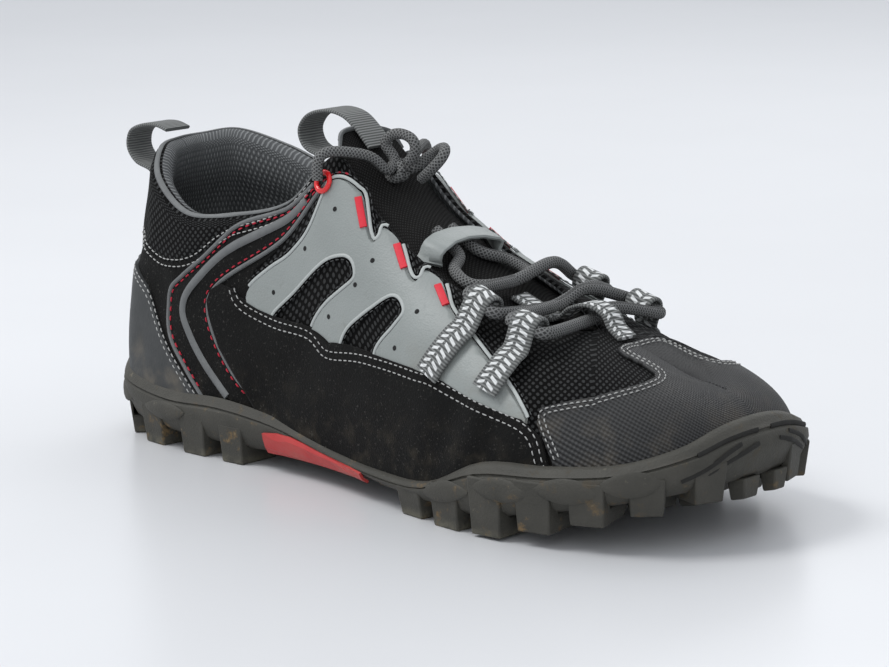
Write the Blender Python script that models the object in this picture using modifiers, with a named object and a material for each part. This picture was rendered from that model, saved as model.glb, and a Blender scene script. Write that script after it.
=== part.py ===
# Lace-up cycling shoe for the right foot, with a lugged rubber sole and a recessed cleat pocket.
# The toe points along +X, the lateral side is -Y and the ground is z = 0. Lengths are metres.
import math

import bmesh
import bpy
import numpy as np
from mathutils import Vector

# Driving sizes of the last and the upper
LENGTH = 0.295
BALL_WIDTH = 0.094
COLLAR_HEIGHT = 0.107
INSTEP_HEIGHT = 0.112
TOE_HEIGHT = 0.058
FEATHER_HEIGHT = 0.015
UPPER_WALL = 0.0025
COLLAR_PAD = 0.0085
OVERLAY_THICKNESS = 0.0012
GAP = 0.0003
CURVED_GAP = 0.0006
SEAT_GAP = 0.0010

# Sole
RIM_HEIGHT = 0.024
SOLE_FLARE = 0.0065
LUG_HEIGHT = 0.0060
ARCH_LUG_HEIGHT = 0.0030
LUG_DRAFT = 0.0008
TOE_SPRING = 0.019
TOE_SPRING_LENGTH = 0.083
TOE_SPRING_POWER = 1.15
HEEL_BEVEL = 0.005
HEEL_BEVEL_LENGTH = 0.016
ARCH_RISE = 0.0012
FLOOR_CROWN = 0.003
INSOLE_THICKNESS = 0.0035

# Cleat pocket and plate
POCKET_CENTRE = 0.196
POCKET_LENGTH = 0.058
POCKET_WIDTH = 0.033
POCKET_DEPTH = 0.0035
PLATE_THICKNESS = 0.002
SLOT_SPACING = 0.014
SLOT_WIDTH = 0.0055
SLOT_LENGTH = 0.030
RAIL_SPACING = 0.047
RAIL_WIDTH = 0.0075
RAIL_LENGTH = 0.045

# Tongue, laces, webbing and eyelets
TONGUE_THICKNESS = 0.0045
TONGUE_UNDERLAP = 0.008
TONGUE_EXTENSION = 0.011
TONGUE_FULLNESS = (0.14, 0.30)
LACE_DIAMETER = 0.0042
WEBBING_WIDTH = 0.010
WEBBING_THICKNESS = 0.0013
EYELET_OUTER = 0.0085
EYELET_HOLE = 0.0045
EYELET_HEIGHT = 0.0016

# Sections of the upper from the heel's centre line forward to the toe tip. "at" and "edge_at" are shares
# of LENGTH, the widths are shares of BALL_WIDTH, the rises are shares of the height named by HEIGHT_OF_ROW,
# the arrival is an angle in degrees and the pulls are shares of the section's own size.
COLUMNS = ("at", "lateral", "medial", "edge_at", "edge_lateral", "edge_medial",
           "rise_lateral", "rise_medial", "arrival", "low_pull", "high_pull", "belly")
SECTIONS = (
    (0.015, 0.000, 0.000, 0.045, 0.000, 0.000, 1.000, 1.000, 84, 0.36, 0.30, 0.043),
    (0.026, 0.160, 0.160, 0.054, 0.117, 0.117, 0.981, 1.009, 84, 0.36, 0.30, 0.032),
    (0.068, 0.282, 0.277, 0.090, 0.234, 0.239, 0.897, 1.019, 86, 0.36, 0.30, 0.032),
    (0.155, 0.330, 0.324, 0.165, 0.298, 0.293, 0.804, 0.972, 88, 0.36, 0.30, 0.027),
    (0.245, 0.340, 0.330, 0.252, 0.298, 0.287, 0.822, 0.916, 84, 0.36, 0.30, 0.021),
    (0.340, 0.340, 0.319, 0.338, 0.266, 0.240, 0.884, 0.920, 76, 0.40, 0.32, 0.021),
    (0.440, 0.372, 0.330, 0.410, 0.223, 0.172, 1.000, 0.975, 62, 0.42, 0.34, 0.021),
    (0.540, 0.431, 0.388, 0.478, 0.234, 0.172, 0.839, 0.825, 50, 0.46, 0.36, 0.027),
    (0.635, 0.484, 0.452, 0.555, 0.239, 0.176, 0.705, 0.705, 38, 0.50, 0.40, 0.032),
    (0.725, 0.511, 0.484, 0.637, 0.213, 0.165, 0.607, 0.612, 22, 0.52, 0.48, 0.032),
    (0.812, 0.484, 0.473, 0.705, 0.106, 0.090, 1.069, 1.069, 10, 0.55, 0.55, 0.032),
    (0.885, 0.410, 0.426, 0.762, 0.000, 0.000, 1.000, 1.000, 4, 0.60, 0.60, 0.032),
    (0.932, 0.282, 0.330, 0.815, 0.000, 0.000, 0.914, 0.914, 3, 0.66, 0.64, 0.027),
    (0.952, 0.138, 0.202, 0.855, 0.000, 0.000, 0.845, 0.845, 3, 0.70, 0.66, 0.021),
    (0.959, 0.000, 0.000, 0.872, 0.000, 0.000, 0.810, 0.810, 3, 0.72, 0.68, 0.021),
)
HEIGHT_OF_ROW = (COLLAR_HEIGHT,) * 6 + (INSTEP_HEIGHT,) * 4 + (TOE_HEIGHT,) * 5
LAST_ROW = len(SECTIONS) - 1
VAMP_POINT = 10.6
TOE_OFFSET = 0.043
RIDGE_OFFSET = 0.021

# The part's origin is under the middle of the shoe's overall box, pull loop included
TOE_END = 0.9773
PULL_LOOP_REACH = 0.0065
MIDDLE = (TOE_END * LENGTH - PULL_LOOP_REACH) / 2

# Height of the upper's lower edge along the shoe, as shares of LENGTH and FEATHER_HEIGHT
FEATHER_AT = (0.00, 0.30, 0.42, 0.55, 0.63, 0.75, 0.85, 0.93, 1.00)
FEATHER_RISE = (1.00, 1.00, 0.82, 0.66, 0.65, 0.80, 1.08, 1.40, 1.65)

# Sole side, a row for each section of the upper: the rim's height is a share of RIM_HEIGHT, and the rim,
# the bulge of the side and the tread's edge stand out of the upper by shares of SOLE_FLARE. The columns
# are rim, rim_out, side_out and tread_out.
SOLE_SECTIONS = (
    (1.25, 0.38, 0.50, 0.00),
    (1.17, 0.38, 0.50, 0.00),
    (1.00, 0.38, 0.60, 0.10),
    (0.88, 0.38, 0.77, 0.38),
    (0.92, 0.38, 0.77, 0.45),
    (0.79, 0.38, 0.65, 0.38),
    (0.54, 0.46, 0.54, 0.23),
    (0.47, 0.62, 0.70, 0.30),
    (0.54, 0.69, 0.92, 0.54),
    (1.00, 0.77, 1.00, 0.77),
    (1.08, 0.77, 1.04, 0.77),
    (1.18, 0.77, 1.00, 0.66),
    (1.38, 0.72, 0.88, 0.48),
    (1.58, 0.66, 0.80, 0.36),
    (1.64, 0.62, 0.78, 0.32),
)

# Sole section: the rim's rounding, the heights of bulge and shoulder as shares of the side, and the tread's
# chamfer. The bulge and the lugs' roots and faces use these lengths too.
RIM_ROUNDING = 0.0008
BULGE_SHARE = 0.55
SHOULDER_SHARE = 0.12
TREAD_CHAMFER = 0.0025
CROWN_FADE = 3
LUG_ROOT = 0.0008
EDGE_LUG_LOW_PROUD = 0.0008
EDGE_LUG_HIGH_PROUD = 0.0010
POCKET_CORNER = 0.006
POCKET_CUT = 0.020
PLATE_INSET_X = 0.004
PLATE_INSET_Y = 0.002
PLATE_CORNER = 0.004
RAIL_SETBACK = 0.004
INSERT_THICKNESS = 0.0010
INSERT_PLACES = (4.9, 6.8)
INSERT_STEPS = 8

# Where the collar's padding starts up the side and ends along the shoe
PADDING_SHARE = 0.66
PADDING_RISE = 0.22
PADDING_END = 6.0
PADDING_FADE = 1.6

# Row after which the toe's ridge leaves the middle, and the rows that this takes
RIDGE_START = 6
RIDGE_RUN = 5

# Outlines of the panels. Side views are (share of LENGTH, share of COLLAR_HEIGHT), and the toe cap's plan
# is (share of LENGTH, share of BALL_WIDTH).
EYESTAY_OUTLINE = ((0.451, 1.30), (0.451, 0.925), (0.397, 0.822), (0.332, 0.701), (0.298, 0.626),
                   (0.290, 0.570), (0.315, 0.533), (0.400, 0.490), (0.454, 0.456), (0.525, 0.464),
                   (0.597, 0.442), (0.648, 0.420), (0.701, 0.378), (0.755, 0.350), (0.772, 0.352),
                   (0.725, 0.455), (0.681, 0.525), (0.640, 0.585), (0.618, 0.612), (0.606, 0.655),
                   (0.601, 0.720), (0.571, 0.760), (0.557, 0.700), (0.546, 0.730), (0.542, 0.840),
                   (0.512, 0.900), (0.489, 0.805), (0.480, 0.840), (0.482, 1.30))
EYESTAY_WINDOW_REAR = ((0.330, 0.545), (0.442, 0.735), (0.464, 0.748), (0.472, 0.715), (0.404, 0.522))
EYESTAY_WINDOW_FRONT = ((0.461, 0.490), (0.525, 0.632), (0.549, 0.652), (0.559, 0.617), (0.522, 0.480))
COUNTER_OUTLINE = ((-0.03, 0.10), (0.200, 0.10), (0.200, 0.196), (0.153, 0.318), (0.117, 0.439),
                   (0.097, 0.530), (0.060, 0.590), (-0.03, 0.615))
TOE_CAP_OUTLINE = ((1.05, -0.70), (0.812, -0.70), (0.783, -0.457), (0.783, -0.415), (0.834, -0.319),
                   (0.864, -0.223), (0.861, -0.138), (0.800, -0.128), (0.786, -0.096), (0.786, 0.138),
                   (0.800, 0.170), (0.861, 0.180), (0.864, 0.266), (0.834, 0.362), (0.783, 0.457),
                   (0.783, 0.500), (0.812, 0.750), (1.05, 0.750))

# Lugs of the tread, with the columns at, across, length, width, turn and taper: the place and length are
# shares of LENGTH, across and width shares of BALL_WIDTH, the turn degrees and the taper a share of width.
INNER_LUGS = (
    (0.282, -0.095, 0.044, 0.110, 10, 0.85), (0.282, 0.075, 0.044, 0.110, -10, 0.85),
    (0.225, -0.110, 0.044, 0.120, 8, 0.90), (0.225, 0.090, 0.044, 0.120, -8, 0.90),
    (0.166, -0.115, 0.046, 0.130, 4, 0.95), (0.166, 0.095, 0.046, 0.130, -4, 0.95),
    (0.108, -0.115, 0.044, 0.130, 0, 1.00), (0.108, 0.095, 0.044, 0.130, 0, 1.00),
    (0.050, -0.095, 0.036, 0.110, -8, 1.05), (0.050, 0.085, 0.036, 0.110, 8, 1.05),
    (0.860, -0.135, 0.038, 0.160, -14, 0.80), (0.866, 0.150, 0.038, 0.160, 12, 0.80),
    (0.908, -0.075, 0.030, 0.130, -10, 0.80), (0.914, 0.160, 0.030, 0.120, 12, 0.80),
    (0.805, -0.190, 0.036, 0.160, -10, 0.80), (0.808, 0.180, 0.036, 0.150, 10, 0.80),
    (0.955, -0.015, 0.022, 0.110, 0, 0.80), (0.958, 0.135, 0.020, 0.090, 0, 0.80),
)
# Lugs on the tread's edge, with the columns place, length as a share of LENGTH, and share of the side climbed
EDGE_LUGS = {
    -1: ((1.6, 0.034, 0.60), (2.6, 0.042, 0.55), (3.5, 0.044, 0.50), (4.25, 0.040, 0.50),
         (7.75, 0.042, 0.70), (8.45, 0.046, 0.75), (9.15, 0.046, 0.75), (9.85, 0.046, 0.75),
         (10.6, 0.044, 0.70), (11.45, 0.040, 0.60), (12.6, 0.040, 0.55)),
    1: ((1.6, 0.034, 0.60), (2.6, 0.042, 0.55), (3.5, 0.044, 0.50), (4.25, 0.040, 0.50),
        (8.0, 0.042, 0.70), (8.7, 0.046, 0.75), (9.4, 0.046, 0.75), (10.1, 0.044, 0.75),
        (10.9, 0.044, 0.65), (11.8, 0.042, 0.55), (12.9, 0.036, 0.50)),
}
EDGE_LUG_DEPTH = 0.013
# Low lugs of the waist, with the columns at and across
ARCH_LUGS = ((0.525, -0.330), (0.495, -0.300), (0.455, -0.255), (0.415, -0.215), (0.378, -0.200),
             (0.510, 0.120), (0.468, -0.075), (0.425, -0.055), (0.385, -0.040),
             (0.462, 0.095), (0.420, 0.095), (0.380, 0.125), (0.345, -0.190))
ARCH_LUG_SIZE = (0.0075, 0.0105)

# Rows of the tongue, and how far its free end draws in over its two last rows
TONGUE_PLACES = (10.2, 9.7, 9.2, 8.7, 8.2, 7.7, 7.2, 6.7, 6.2)
TONGUE_TIP_TAPER = (0.93, 0.80)

# Lace loops of webbing, the front and the rear one of each side (-1 lateral, 1 medial), with the columns
# foot place, foot share, tip place and tip share: the lower end, and the lace's centre, on the upper
LACE_LOOPS = {-1: ((9.05, 0.46, 9.65, 0.80), (8.05, 0.44, 8.95, 0.88)),
              1: ((8.80, 0.42, 9.30, 0.70), (7.88, 0.42, 8.44, 0.74))}
LACE_LIFT = 0.0068
LACE_SLACK = 0.0012
EDGE_LIFT = 0.0050

# Route of each lace half behind the crossings: place, share across the tongue and lift off it
LACE_LIFT_AT_CROSSING = 0.0022
LACE_BAR = (0.0060, 0.0, 0.0)
LACE_REAR_RUN = ((9.0, 0.0, 0.0022), (8.72, 0.66, 0.0006), (8.38, 0.62, 0.0), (8.24, 0.24, 0.0),
                 (7.95, 0.17, 0.0), (7.72, 0.17, 0.0))

# Free parts of the lace as places along the tongue, shares across it and lifts off it, and heights of the
# bow's loops over the knot, all chosen from the way the lace lies
KNOT_PLACE = (6.62, 0.0)
BOW_FRONT = ((0.0000, -0.0005, 0.0034), (-0.0018, -0.0012, 0.0062), (-0.0042, -0.0022, 0.0095),
             (-0.0005, -0.0005, 0.0130), (0.0062, 0.0010, 0.0118), (0.0080, 0.0012, 0.0075),
             (0.0052, 0.0003, 0.0036))
BOW_REAR = ((0.0041, 0.0032, 0.0006), (0.0090, 0.0090, 0.0060), (0.0150, 0.0080, 0.0085),
            (0.0180, 0.0040, 0.0060), (0.0140, 0.0020, 0.0012), (0.0085, 0.0030, -0.0024))
KNOT_LIFT = 0.0036
KNOT_HALF_SIZE = (0.0034, 0.0026, 0.0028)
FREE_LACE_SHARE = 0.9

# Top eyelets, as a place and a share on the upper
EYELET_PLACE = (5.85, 0.90)
EYELET_SIDES = 14
EYELET_ROUNDING = 0.0006

# Keeper band: its two edges along the tongue, and its points across it
KEEPER_PLACES = (8.18, 7.80)
KEEPER_SHARES = (-0.86, -0.74, -0.5, -0.25, 0.0, 0.25, 0.5, 0.74, 0.86)
KEEPER_BRIDGE = 0.22

# Strap down the middle of the vamp: places and lifts on the toe's ridge, then on the tongue
VAMP_ON_RIDGE = ((11.3, 0.0012), (11.0, 0.0028), (10.78, 0.0062))
VAMP_OVER_BAR = 0.0098
VAMP_ON_TONGUE = ((10.15, 0.0078), (10.0, 0.0034), (9.85, 0.0008), (9.5, 0.0006), (9.15, 0.0006))
PULL_LOOP_WIDTH = 0.012

# Paths of the pull loops in the shoe's middle plane, as lengths from the top of the heel and of the tongue
HEEL_PULL = ((-0.0036, -0.0170), (-0.0068, -0.0125), (-0.0145, -0.0100), (-0.0188, -0.0050),
             (-0.0172, 0.0010), (-0.0105, 0.0038), (-0.0030, 0.0044), (0.0030, 0.0030))
TONGUE_PULL = ((0.0010, 0.0028), (-0.0050, 0.0085), (-0.0115, 0.0128), (-0.0200, 0.0140),
               (-0.0290, 0.0118), (-0.0335, 0.0065), (-0.0315, 0.0010), (-0.0250, -0.0016),
               (-0.0175, -0.0010), (-0.0135, 0.0008))

SECTION_STEPS = 2
HEIGHT_STEPS = 8
BLUE_GREY = (0.27, 0.29, 0.28)
BLACK_CLOTH = (0.012, 0.012, 0.013)
RUBBER = (0.055, 0.055, 0.048)
RED = (0.60, 0.06, 0.06)


def clear_scene():
    for item in list(bpy.data.objects):
        bpy.data.objects.remove(item, do_unlink=True)


def material(name, colour, roughness, metallic=0.0):
    made = bpy.data.materials.new(name)
    made.use_nodes = True
    shader = made.node_tree.nodes["Principled BSDF"]
    shader.inputs["Base Color"].default_value = (*colour, 1.0)
    shader.inputs["Roughness"].default_value = roughness
    shader.inputs["Metallic"].default_value = metallic
    return made


def collection(name):
    made = bpy.data.collections.new(name)
    bpy.context.scene.collection.children.link(made)
    return made


def ridge_at(t):
    """Offset of the toe's ridge to the medial side."""
    return RIDGE_OFFSET * BALL_WIDTH * min(1.0, max(0.0, (t - RIDGE_START) / RIDGE_RUN))


def section_loop():
    """The sections as one closed loop: lateral side heel to toe, then medial side toe to heel."""
    loops = []
    for side, sign in (("lateral", -1.0), ("medial", 1.0)):
        rows = []
        for index, row in enumerate(SECTIONS):
            value = dict(zip(COLUMNS, row))
            sole = SOLE_SECTIONS[index]
            ridge = ridge_at(index)
            foot_y = sign * value[side] * BALL_WIDTH
            if index == LAST_ROW:
                foot_y = TOE_OFFSET * BALL_WIDTH
            foot_z = np.interp(value["at"], FEATHER_AT, FEATHER_RISE) * FEATHER_HEIGHT
            edge_y = sign * value["edge_" + side] * BALL_WIDTH + ridge
            edge_z = value["rise_" + side] * HEIGHT_OF_ROW[index]
            rows.append((value["at"] * LENGTH, foot_y, foot_z, value["edge_at"] * LENGTH, edge_y, edge_z,
                         value["arrival"], value["low_pull"], value["high_pull"],
                         value["belly"] * BALL_WIDTH, sole[0] * RIM_HEIGHT, sole[1] * SOLE_FLARE,
                         sole[2] * SOLE_FLARE, sole[3] * SOLE_FLARE))
        loops.append(rows)
    return np.array(loops[0] + loops[1][-2:0:-1])


LOOP = section_loop()
LOOP_LENGTH = len(LOOP)


def station(side, t):
    """Smooth section values at place t, 0 at the heel's centre line and LAST_ROW at the toe tip."""
    place = (t if side < 0 else LOOP_LENGTH - t) % LOOP_LENGTH
    index = int(math.floor(place))
    f = place - index
    before, start, end, after = (LOOP[(index + k) % LOOP_LENGTH] for k in (-1, 0, 1, 2))
    value = 0.5 * (2 * start + (end - before) * f + (2 * before - 5 * start + 4 * end - after) * f ** 2
                   + (3 * start - before - 3 * end + after) * f ** 3)
    ridge = ridge_at(t)
    half_gap = max(0.0, (value[4] - ridge) * side) if t < VAMP_POINT else 0.0
    value[4] = ridge + side * half_gap
    return value


def plan_outward(side, t):
    """Horizontal direction out of the shoe at the upper's lower edge."""
    step = 0.05
    along = station(side, min(t + step, LAST_ROW))[:2] - station(side, max(t - step, 0.0))[:2]
    if t < step:
        return Vector((-1.0, 0.0, 0.0))
    if t > LAST_ROW - step:
        return Vector((1.0, 0.0, 0.0))
    return Vector((-side * -along[1], side * -along[0], 0.0)).normalized() * -1.0


def upper_point(side, t, s):
    """Point of the upper's outer face: s runs from 0 at the lower edge to 1 at the topline or ridge."""
    v = station(side, t)
    foot = Vector(v[0:3])
    edge = Vector(v[3:6])
    out = foot - edge
    out.z = 0.0
    reach = out.length
    out.normalize()
    rise = edge.z - foot.z
    angle = math.radians(v[6])
    low = foot + Vector((0, 0, rise * v[7])) + out * v[9]
    length = (reach * math.cos(angle) + rise * math.sin(angle)) * v[8]
    high = edge + out * (math.cos(angle) * length) - Vector((0, 0, math.sin(angle) * length))
    u = 1.0 - s
    return foot * u ** 3 + low * (3 * u * u * s) + high * (3 * u * s * s) + edge * s ** 3


def upper_normal(side, t, s):
    step = 0.02
    t0, t1 = max(t - step, 0.0), min(t + step, LAST_ROW)
    s0, s1 = max(s - step, 0.0), min(s + step, 1.0)
    along = upper_point(side, t1, s) - upper_point(side, t0, s)
    if t < step:
        along = Vector((0.0, float(side), 0.0))
    if t > LAST_ROW - step:
        along = Vector((0.0, -float(side), 0.0))
    upward = upper_point(side, t, s1) - upper_point(side, t, s0)
    return along.cross(upward).normalized() * -float(side)


def on_upper(side, t, s, lift):
    return upper_point(side, t, s) + upper_normal(side, t, s) * lift


def share_at_height(side, t, height):
    """The share s at which the upper's outer face reaches a height."""
    low, high = 0.0, 1.0
    for _ in range(30):
        middle = (low + high) / 2
        if upper_point(side, t, middle).z < height:
            low = middle
        else:
            high = middle
    return low


def tread_height(x):
    """Lowest line of the lugs: flat under heel and ball, with a bevelled heel and a sprung toe."""
    toe = max(0.0, (x - (LENGTH - TOE_SPRING_LENGTH)) / TOE_SPRING_LENGTH)
    heel = max(0.0, (HEEL_BEVEL_LENGTH - x) / HEEL_BEVEL_LENGTH)
    return TOE_SPRING * min(toe, 1.0) ** TOE_SPRING_POWER + HEEL_BEVEL * heel ** 2


def base_height(x):
    """Underside of the sole between the lugs."""
    arch = np.interp(x / LENGTH, (0.30, 0.36, 0.50, 0.57), (0.0, 1.0, 1.0, 0.0))
    toe = np.interp(x / LENGTH, (0.80, 1.0), (0.0, 1.0))
    return tread_height(x) + LUG_HEIGHT * (1.0 - 0.4 * toe) + ARCH_RISE * arch


def finish_mesh(name, mesh, look, where):
    item = bpy.data.objects.new(name, mesh)
    mesh.materials.clear()
    mesh.materials.append(look)
    mesh.shade_smooth()
    mesh.set_sharp_from_angle(angle=math.radians(40))
    where.objects.link(item)
    return item


def mesh_from(points, faces, name):
    mesh = bpy.data.meshes.new(name)
    mesh.from_pydata([tuple(point) for point in points], [], faces)
    work = bmesh.new()
    work.from_mesh(mesh)
    bmesh.ops.remove_doubles(work, verts=work.verts, dist=0.000005)
    bmesh.ops.recalc_face_normals(work, faces=work.faces)
    work.to_mesh(mesh)
    work.free()
    return mesh


def place(mesh):
    """Move a mesh from heel-based lengths to the part's frame, centred over its length."""
    for vertex in mesh.vertices:
        vertex.co.x -= MIDDLE
    return mesh


def grid_faces(rows, columns, start=0, closed=False):
    faces = []
    for row in range(rows - 1):
        for column in range(columns if closed else columns - 1):
            after = (column + 1) % columns
            faces.append((start + row * columns + column, start + row * columns + after,
                          start + (row + 1) * columns + after, start + (row + 1) * columns + column))
    return faces


def sheet(name, rows, look, where, thickness, offset=0.0):
    """A grid of points given a thickness with Solidify."""
    columns = len(rows[0])
    points = [point for row in rows for point in row]
    item = finish_mesh(name, place(mesh_from(points, grid_faces(len(rows), columns), name)), look, where)
    solid = item.modifiers.new("Thickness", "SOLIDIFY")
    solid.thickness = thickness
    solid.offset = offset
    return item


def boolean(item, cutter, operation):
    step = item.modifiers.new(operation.title(), "BOOLEAN")
    step.operation = operation
    step.object = cutter
    step.solver = "EXACT"
    return step


def guide(item):
    item.hide_render = True
    item.display_type = "WIRE"
    return item


def prism(name, outlines, low, high, where, axis):
    """A cutter from flat outlines, the first the outside and the others holes, along Y or Z."""
    curve = bpy.data.curves.new(name, "CURVE")
    curve.dimensions = "2D"
    curve.fill_mode = "BOTH"
    curve.extrude = (high - low) / 2
    for outline in outlines:
        spline = curve.splines.new("POLY")
        spline.points.add(len(outline) - 1)
        for point, (across, up) in zip(spline.points, outline):
            point.co = (across, up, 0.0, 1.0)
        spline.use_cyclic_u = True
    outline_item = bpy.data.objects.new(name + "_outline", curve)
    where.objects.link(outline_item)
    graph = bpy.context.evaluated_depsgraph_get()
    mesh = bpy.data.meshes.new_from_object(outline_item.evaluated_get(graph))
    bpy.data.objects.remove(outline_item, do_unlink=True)
    middle = (low + high) / 2
    for vertex in mesh.vertices:
        across, up, depth = vertex.co
        if axis == "Y":
            vertex.co = (across - MIDDLE, middle - depth, up)
        else:
            vertex.co = (across - MIDDLE, up, middle + depth)
    work = bmesh.new()
    work.from_mesh(mesh)
    bmesh.ops.remove_doubles(work, verts=work.verts, dist=0.000005)
    bmesh.ops.recalc_face_normals(work, faces=work.faces)
    work.to_mesh(mesh)
    work.free()
    item = bpy.data.objects.new(name, mesh)
    where.objects.link(item)
    return guide(item)


def rounded_box(name, centre, size, corner, where):
    """A cutter: an upright box with round corners seen from above."""
    half_x, half_y = size[0] / 2 - corner, size[1] / 2 - corner
    outline = []
    for quarter, (sx, sy) in enumerate(((1, 1), (-1, 1), (-1, -1), (1, -1))):
        for step in range(4):
            angle = math.radians(90 * quarter + 30 * step)
            outline.append((centre[0] + sx * half_x + corner * math.cos(angle),
                            centre[1] + sy * half_y + corner * math.sin(angle)))
    return prism(name, (outline,), centre[2] - size[2] / 2, centre[2] + size[2] / 2, where, "Z")


def upper_grid(first, last, low_share, lift):
    """Points of the outer face from one place to another and back on the other side, as closed rows."""
    places = [first + (last - first) * k / ((last - first) * SECTION_STEPS)
              for k in range(int((last - first) * SECTION_STEPS) + 1)]
    keys, points = {}, []

    def key(side, i, j):
        t = places[i]
        if t == 0 or t == LAST_ROW or (j == HEIGHT_STEPS and t >= VAMP_POINT - 1e-6):
            return (0, i, j)
        return (side, i, j)

    def add(side, i, j):
        name = key(side, i, j)
        if name not in keys:
            t = places[i]
            low = low_share(side, t)
            s = low + (1.0 - low) * j / HEIGHT_STEPS
            point = upper_point(side, t, s)
            normal = upper_normal(side, t, s)
            if name[0] == 0 and 0 < t < LAST_ROW:
                normal = (normal + upper_normal(-side, t, s)).normalized()
            if t == 0 or t == LAST_ROW:
                normal.y = 0.0
                normal.normalize()
            keys[name] = len(points)
            points.append((point + normal * lift, t, s))
        return keys[name]

    faces = []
    for side in (-1, 1):
        for i in range(len(places) - 1):
            for j in range(HEIGHT_STEPS):
                corners = [add(side, i, j), add(side, i + 1, j), add(side, i + 1, j + 1), add(side, i, j + 1)]
                faces.append(corners if side < 0 else corners[::-1])
    return points, faces


def smooth(value):
    value = min(1.0, max(0.0, value))
    return value * value * (3 - 2 * value)


def make_upper(look, where):
    """One hollow solid: a thin wall that thickens to a padded collar round the ankle."""
    points, faces = upper_grid(0, LAST_ROW, lambda side, t: 0.0, 0.0)
    mesh = bpy.data.meshes.new("upper")
    mesh.from_pydata([tuple(point) for point, _, _ in points], [], faces)
    item = finish_mesh("upper", place(mesh), look, where)
    padding = item.vertex_groups.new(name="padding")
    for index, (_, t, s) in enumerate(points):
        padding.add([index], smooth((s - PADDING_SHARE) / PADDING_RISE)
                    * smooth((PADDING_END - t) / PADDING_FADE), "REPLACE")
    wall = item.modifiers.new("Wall", "SOLIDIFY")
    wall.thickness = COLLAR_PAD
    wall.offset = -1.0
    wall.vertex_group = "padding"
    wall.thickness_vertex_group = UPPER_WALL / COLLAR_PAD
    return item


def make_overlay(name, cutter, first, last, look, where):
    """A panel that lies on the upper: the upper's own face, lifted, and cut by an outline."""
    def above_rim(side, t):
        rim = station(side, t)[10] + GAP * 2
        return share_at_height(side, t, rim)

    points, faces = upper_grid(first, last, above_rim, CURVED_GAP)
    mesh = bpy.data.meshes.new(name)
    mesh.from_pydata([tuple(point) for point, _, _ in points], [], faces)
    item = finish_mesh(name, place(mesh), look, where)
    solid = item.modifiers.new("Thickness", "SOLIDIFY")
    solid.thickness = OVERLAY_THICKNESS
    solid.offset = 1.0
    boolean(item, cutter, "INTERSECT")
    return item


def side_outline(outline):
    return [(at * LENGTH, rise * COLLAR_HEIGHT) for at, rise in outline]


def make_overlays(looks, where, cutters):
    for name, side in (("eyestay_lateral", -1), ("eyestay_medial", 1)):
        low, high = sorted((side * 0.004, side * BALL_WIDTH))
        outlines = [side_outline(outline) for outline in
                    (EYESTAY_OUTLINE, EYESTAY_WINDOW_REAR, EYESTAY_WINDOW_FRONT)]
        cutter = prism(name + "_cut", outlines, low, high, cutters, "Y")
        make_overlay(name, cutter, 3, 11, looks["panel"], where)
    outlines = (side_outline(COUNTER_OUTLINE),)
    cutter = prism("heel_counter_cut", outlines, -BALL_WIDTH, BALL_WIDTH, cutters, "Y")
    make_overlay("heel_counter", cutter, 0, 5, looks["counter"], where)
    plan = [(at * LENGTH, across * BALL_WIDTH) for at, across in TOE_CAP_OUTLINE]
    cutter = prism("toe_cap_cut", (plan,), 0.0, INSTEP_HEIGHT, cutters, "Z")
    make_overlay("toe_cap", cutter, 9, LAST_ROW, looks["toe"], where)


def sole_profile(side, t):
    """Section of the cup sole: up the inside face, over the rim and down the side to the tread."""
    v = station(side, t)
    rim = v[10]
    out = plan_outward(side, t)
    top = share_at_height(side, t, rim)
    foot = upper_point(side, t, 0.0)
    base = base_height(foot.x + out.x * v[13])
    inside = [on_upper(side, t, top * k / 3, CURVED_GAP) for k in range(4)]
    floor = inside[0] - Vector((0, 0, SEAT_GAP))
    rim_edge = upper_point(side, t, top) + out * v[11]
    rim_edge.z = rim - RIM_ROUNDING
    bulge = foot + out * v[12]
    bulge.z = base + (rim - base) * BULGE_SHARE
    shoulder = foot + out * v[13]
    shoulder.z = base + (rim - base) * SHOULDER_SHARE
    tread_edge = foot + out * (v[13] - TREAD_CHAMFER)
    tread_edge.z = base
    return [floor] + inside[1:] + [rim_edge, bulge, shoulder, tread_edge]


def crown_at(t):
    """Rise of the floor's middle, which fades towards heel and toe."""
    return FLOOR_CROWN * smooth(min(t, LAST_ROW - t) / CROWN_FADE)


def across(a, b, crown):
    """Points between the two sides of a row, raised in the middle by crown."""
    shares = (0.2, 0.5, 0.8)
    return [a.lerp(b, share) + Vector((0, 0, crown * 4 * share * (1 - share))) for share in shares]


def make_sole_body():
    """Cup sole without lugs: two side walls joined by the floor above and the tread's base below."""
    places = [k / SECTION_STEPS for k in range(LAST_ROW * SECTION_STEPS + 1)]
    points, faces = [], []
    walls = {}
    for side in (-1, 1):
        for i, t in enumerate(places):
            if side == 1 and i in (0, len(places) - 1):
                walls[side, i] = walls[-1, i]
                continue
            profile = sole_profile(side, t)
            if i in (0, len(places) - 1):
                centre = profile[0].y
                for point in profile:
                    point.y = centre
            walls[side, i] = range(len(points), len(points) + len(profile))
            points.extend(profile)
    for side in (-1, 1):
        for i in range(len(places) - 1):
            here, there = walls[side, i], walls[side, i + 1]
            for k in range(len(here) - 1):
                faces.append((here[k], there[k], there[k + 1], here[k + 1]))
    for end in (0, -1):
        rows = []
        for i in range(len(places)):
            left, right = walls[-1, i][end], walls[1, i][end]
            if left == right:
                rows.append([left])
                continue
            middle = range(len(points), len(points) + 3)
            crown = crown_at(places[i]) if end == 0 else 0.0
            points.extend(across(points[left], points[right], crown))
            rows.append([left, *middle, right])
        for a, b in zip(rows, rows[1:]):
            if len(a) == 1 or len(b) == 1:
                tip, row = (a[0], b) if len(a) == 1 else (b[0], a)
                faces.extend((tip, row[k], row[k + 1]) for k in range(len(row) - 1))
            else:
                faces.extend((a[k], b[k], b[k + 1], a[k + 1]) for k in range(len(a) - 1))
    return mesh_from(points, faces, "outsole")


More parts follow.
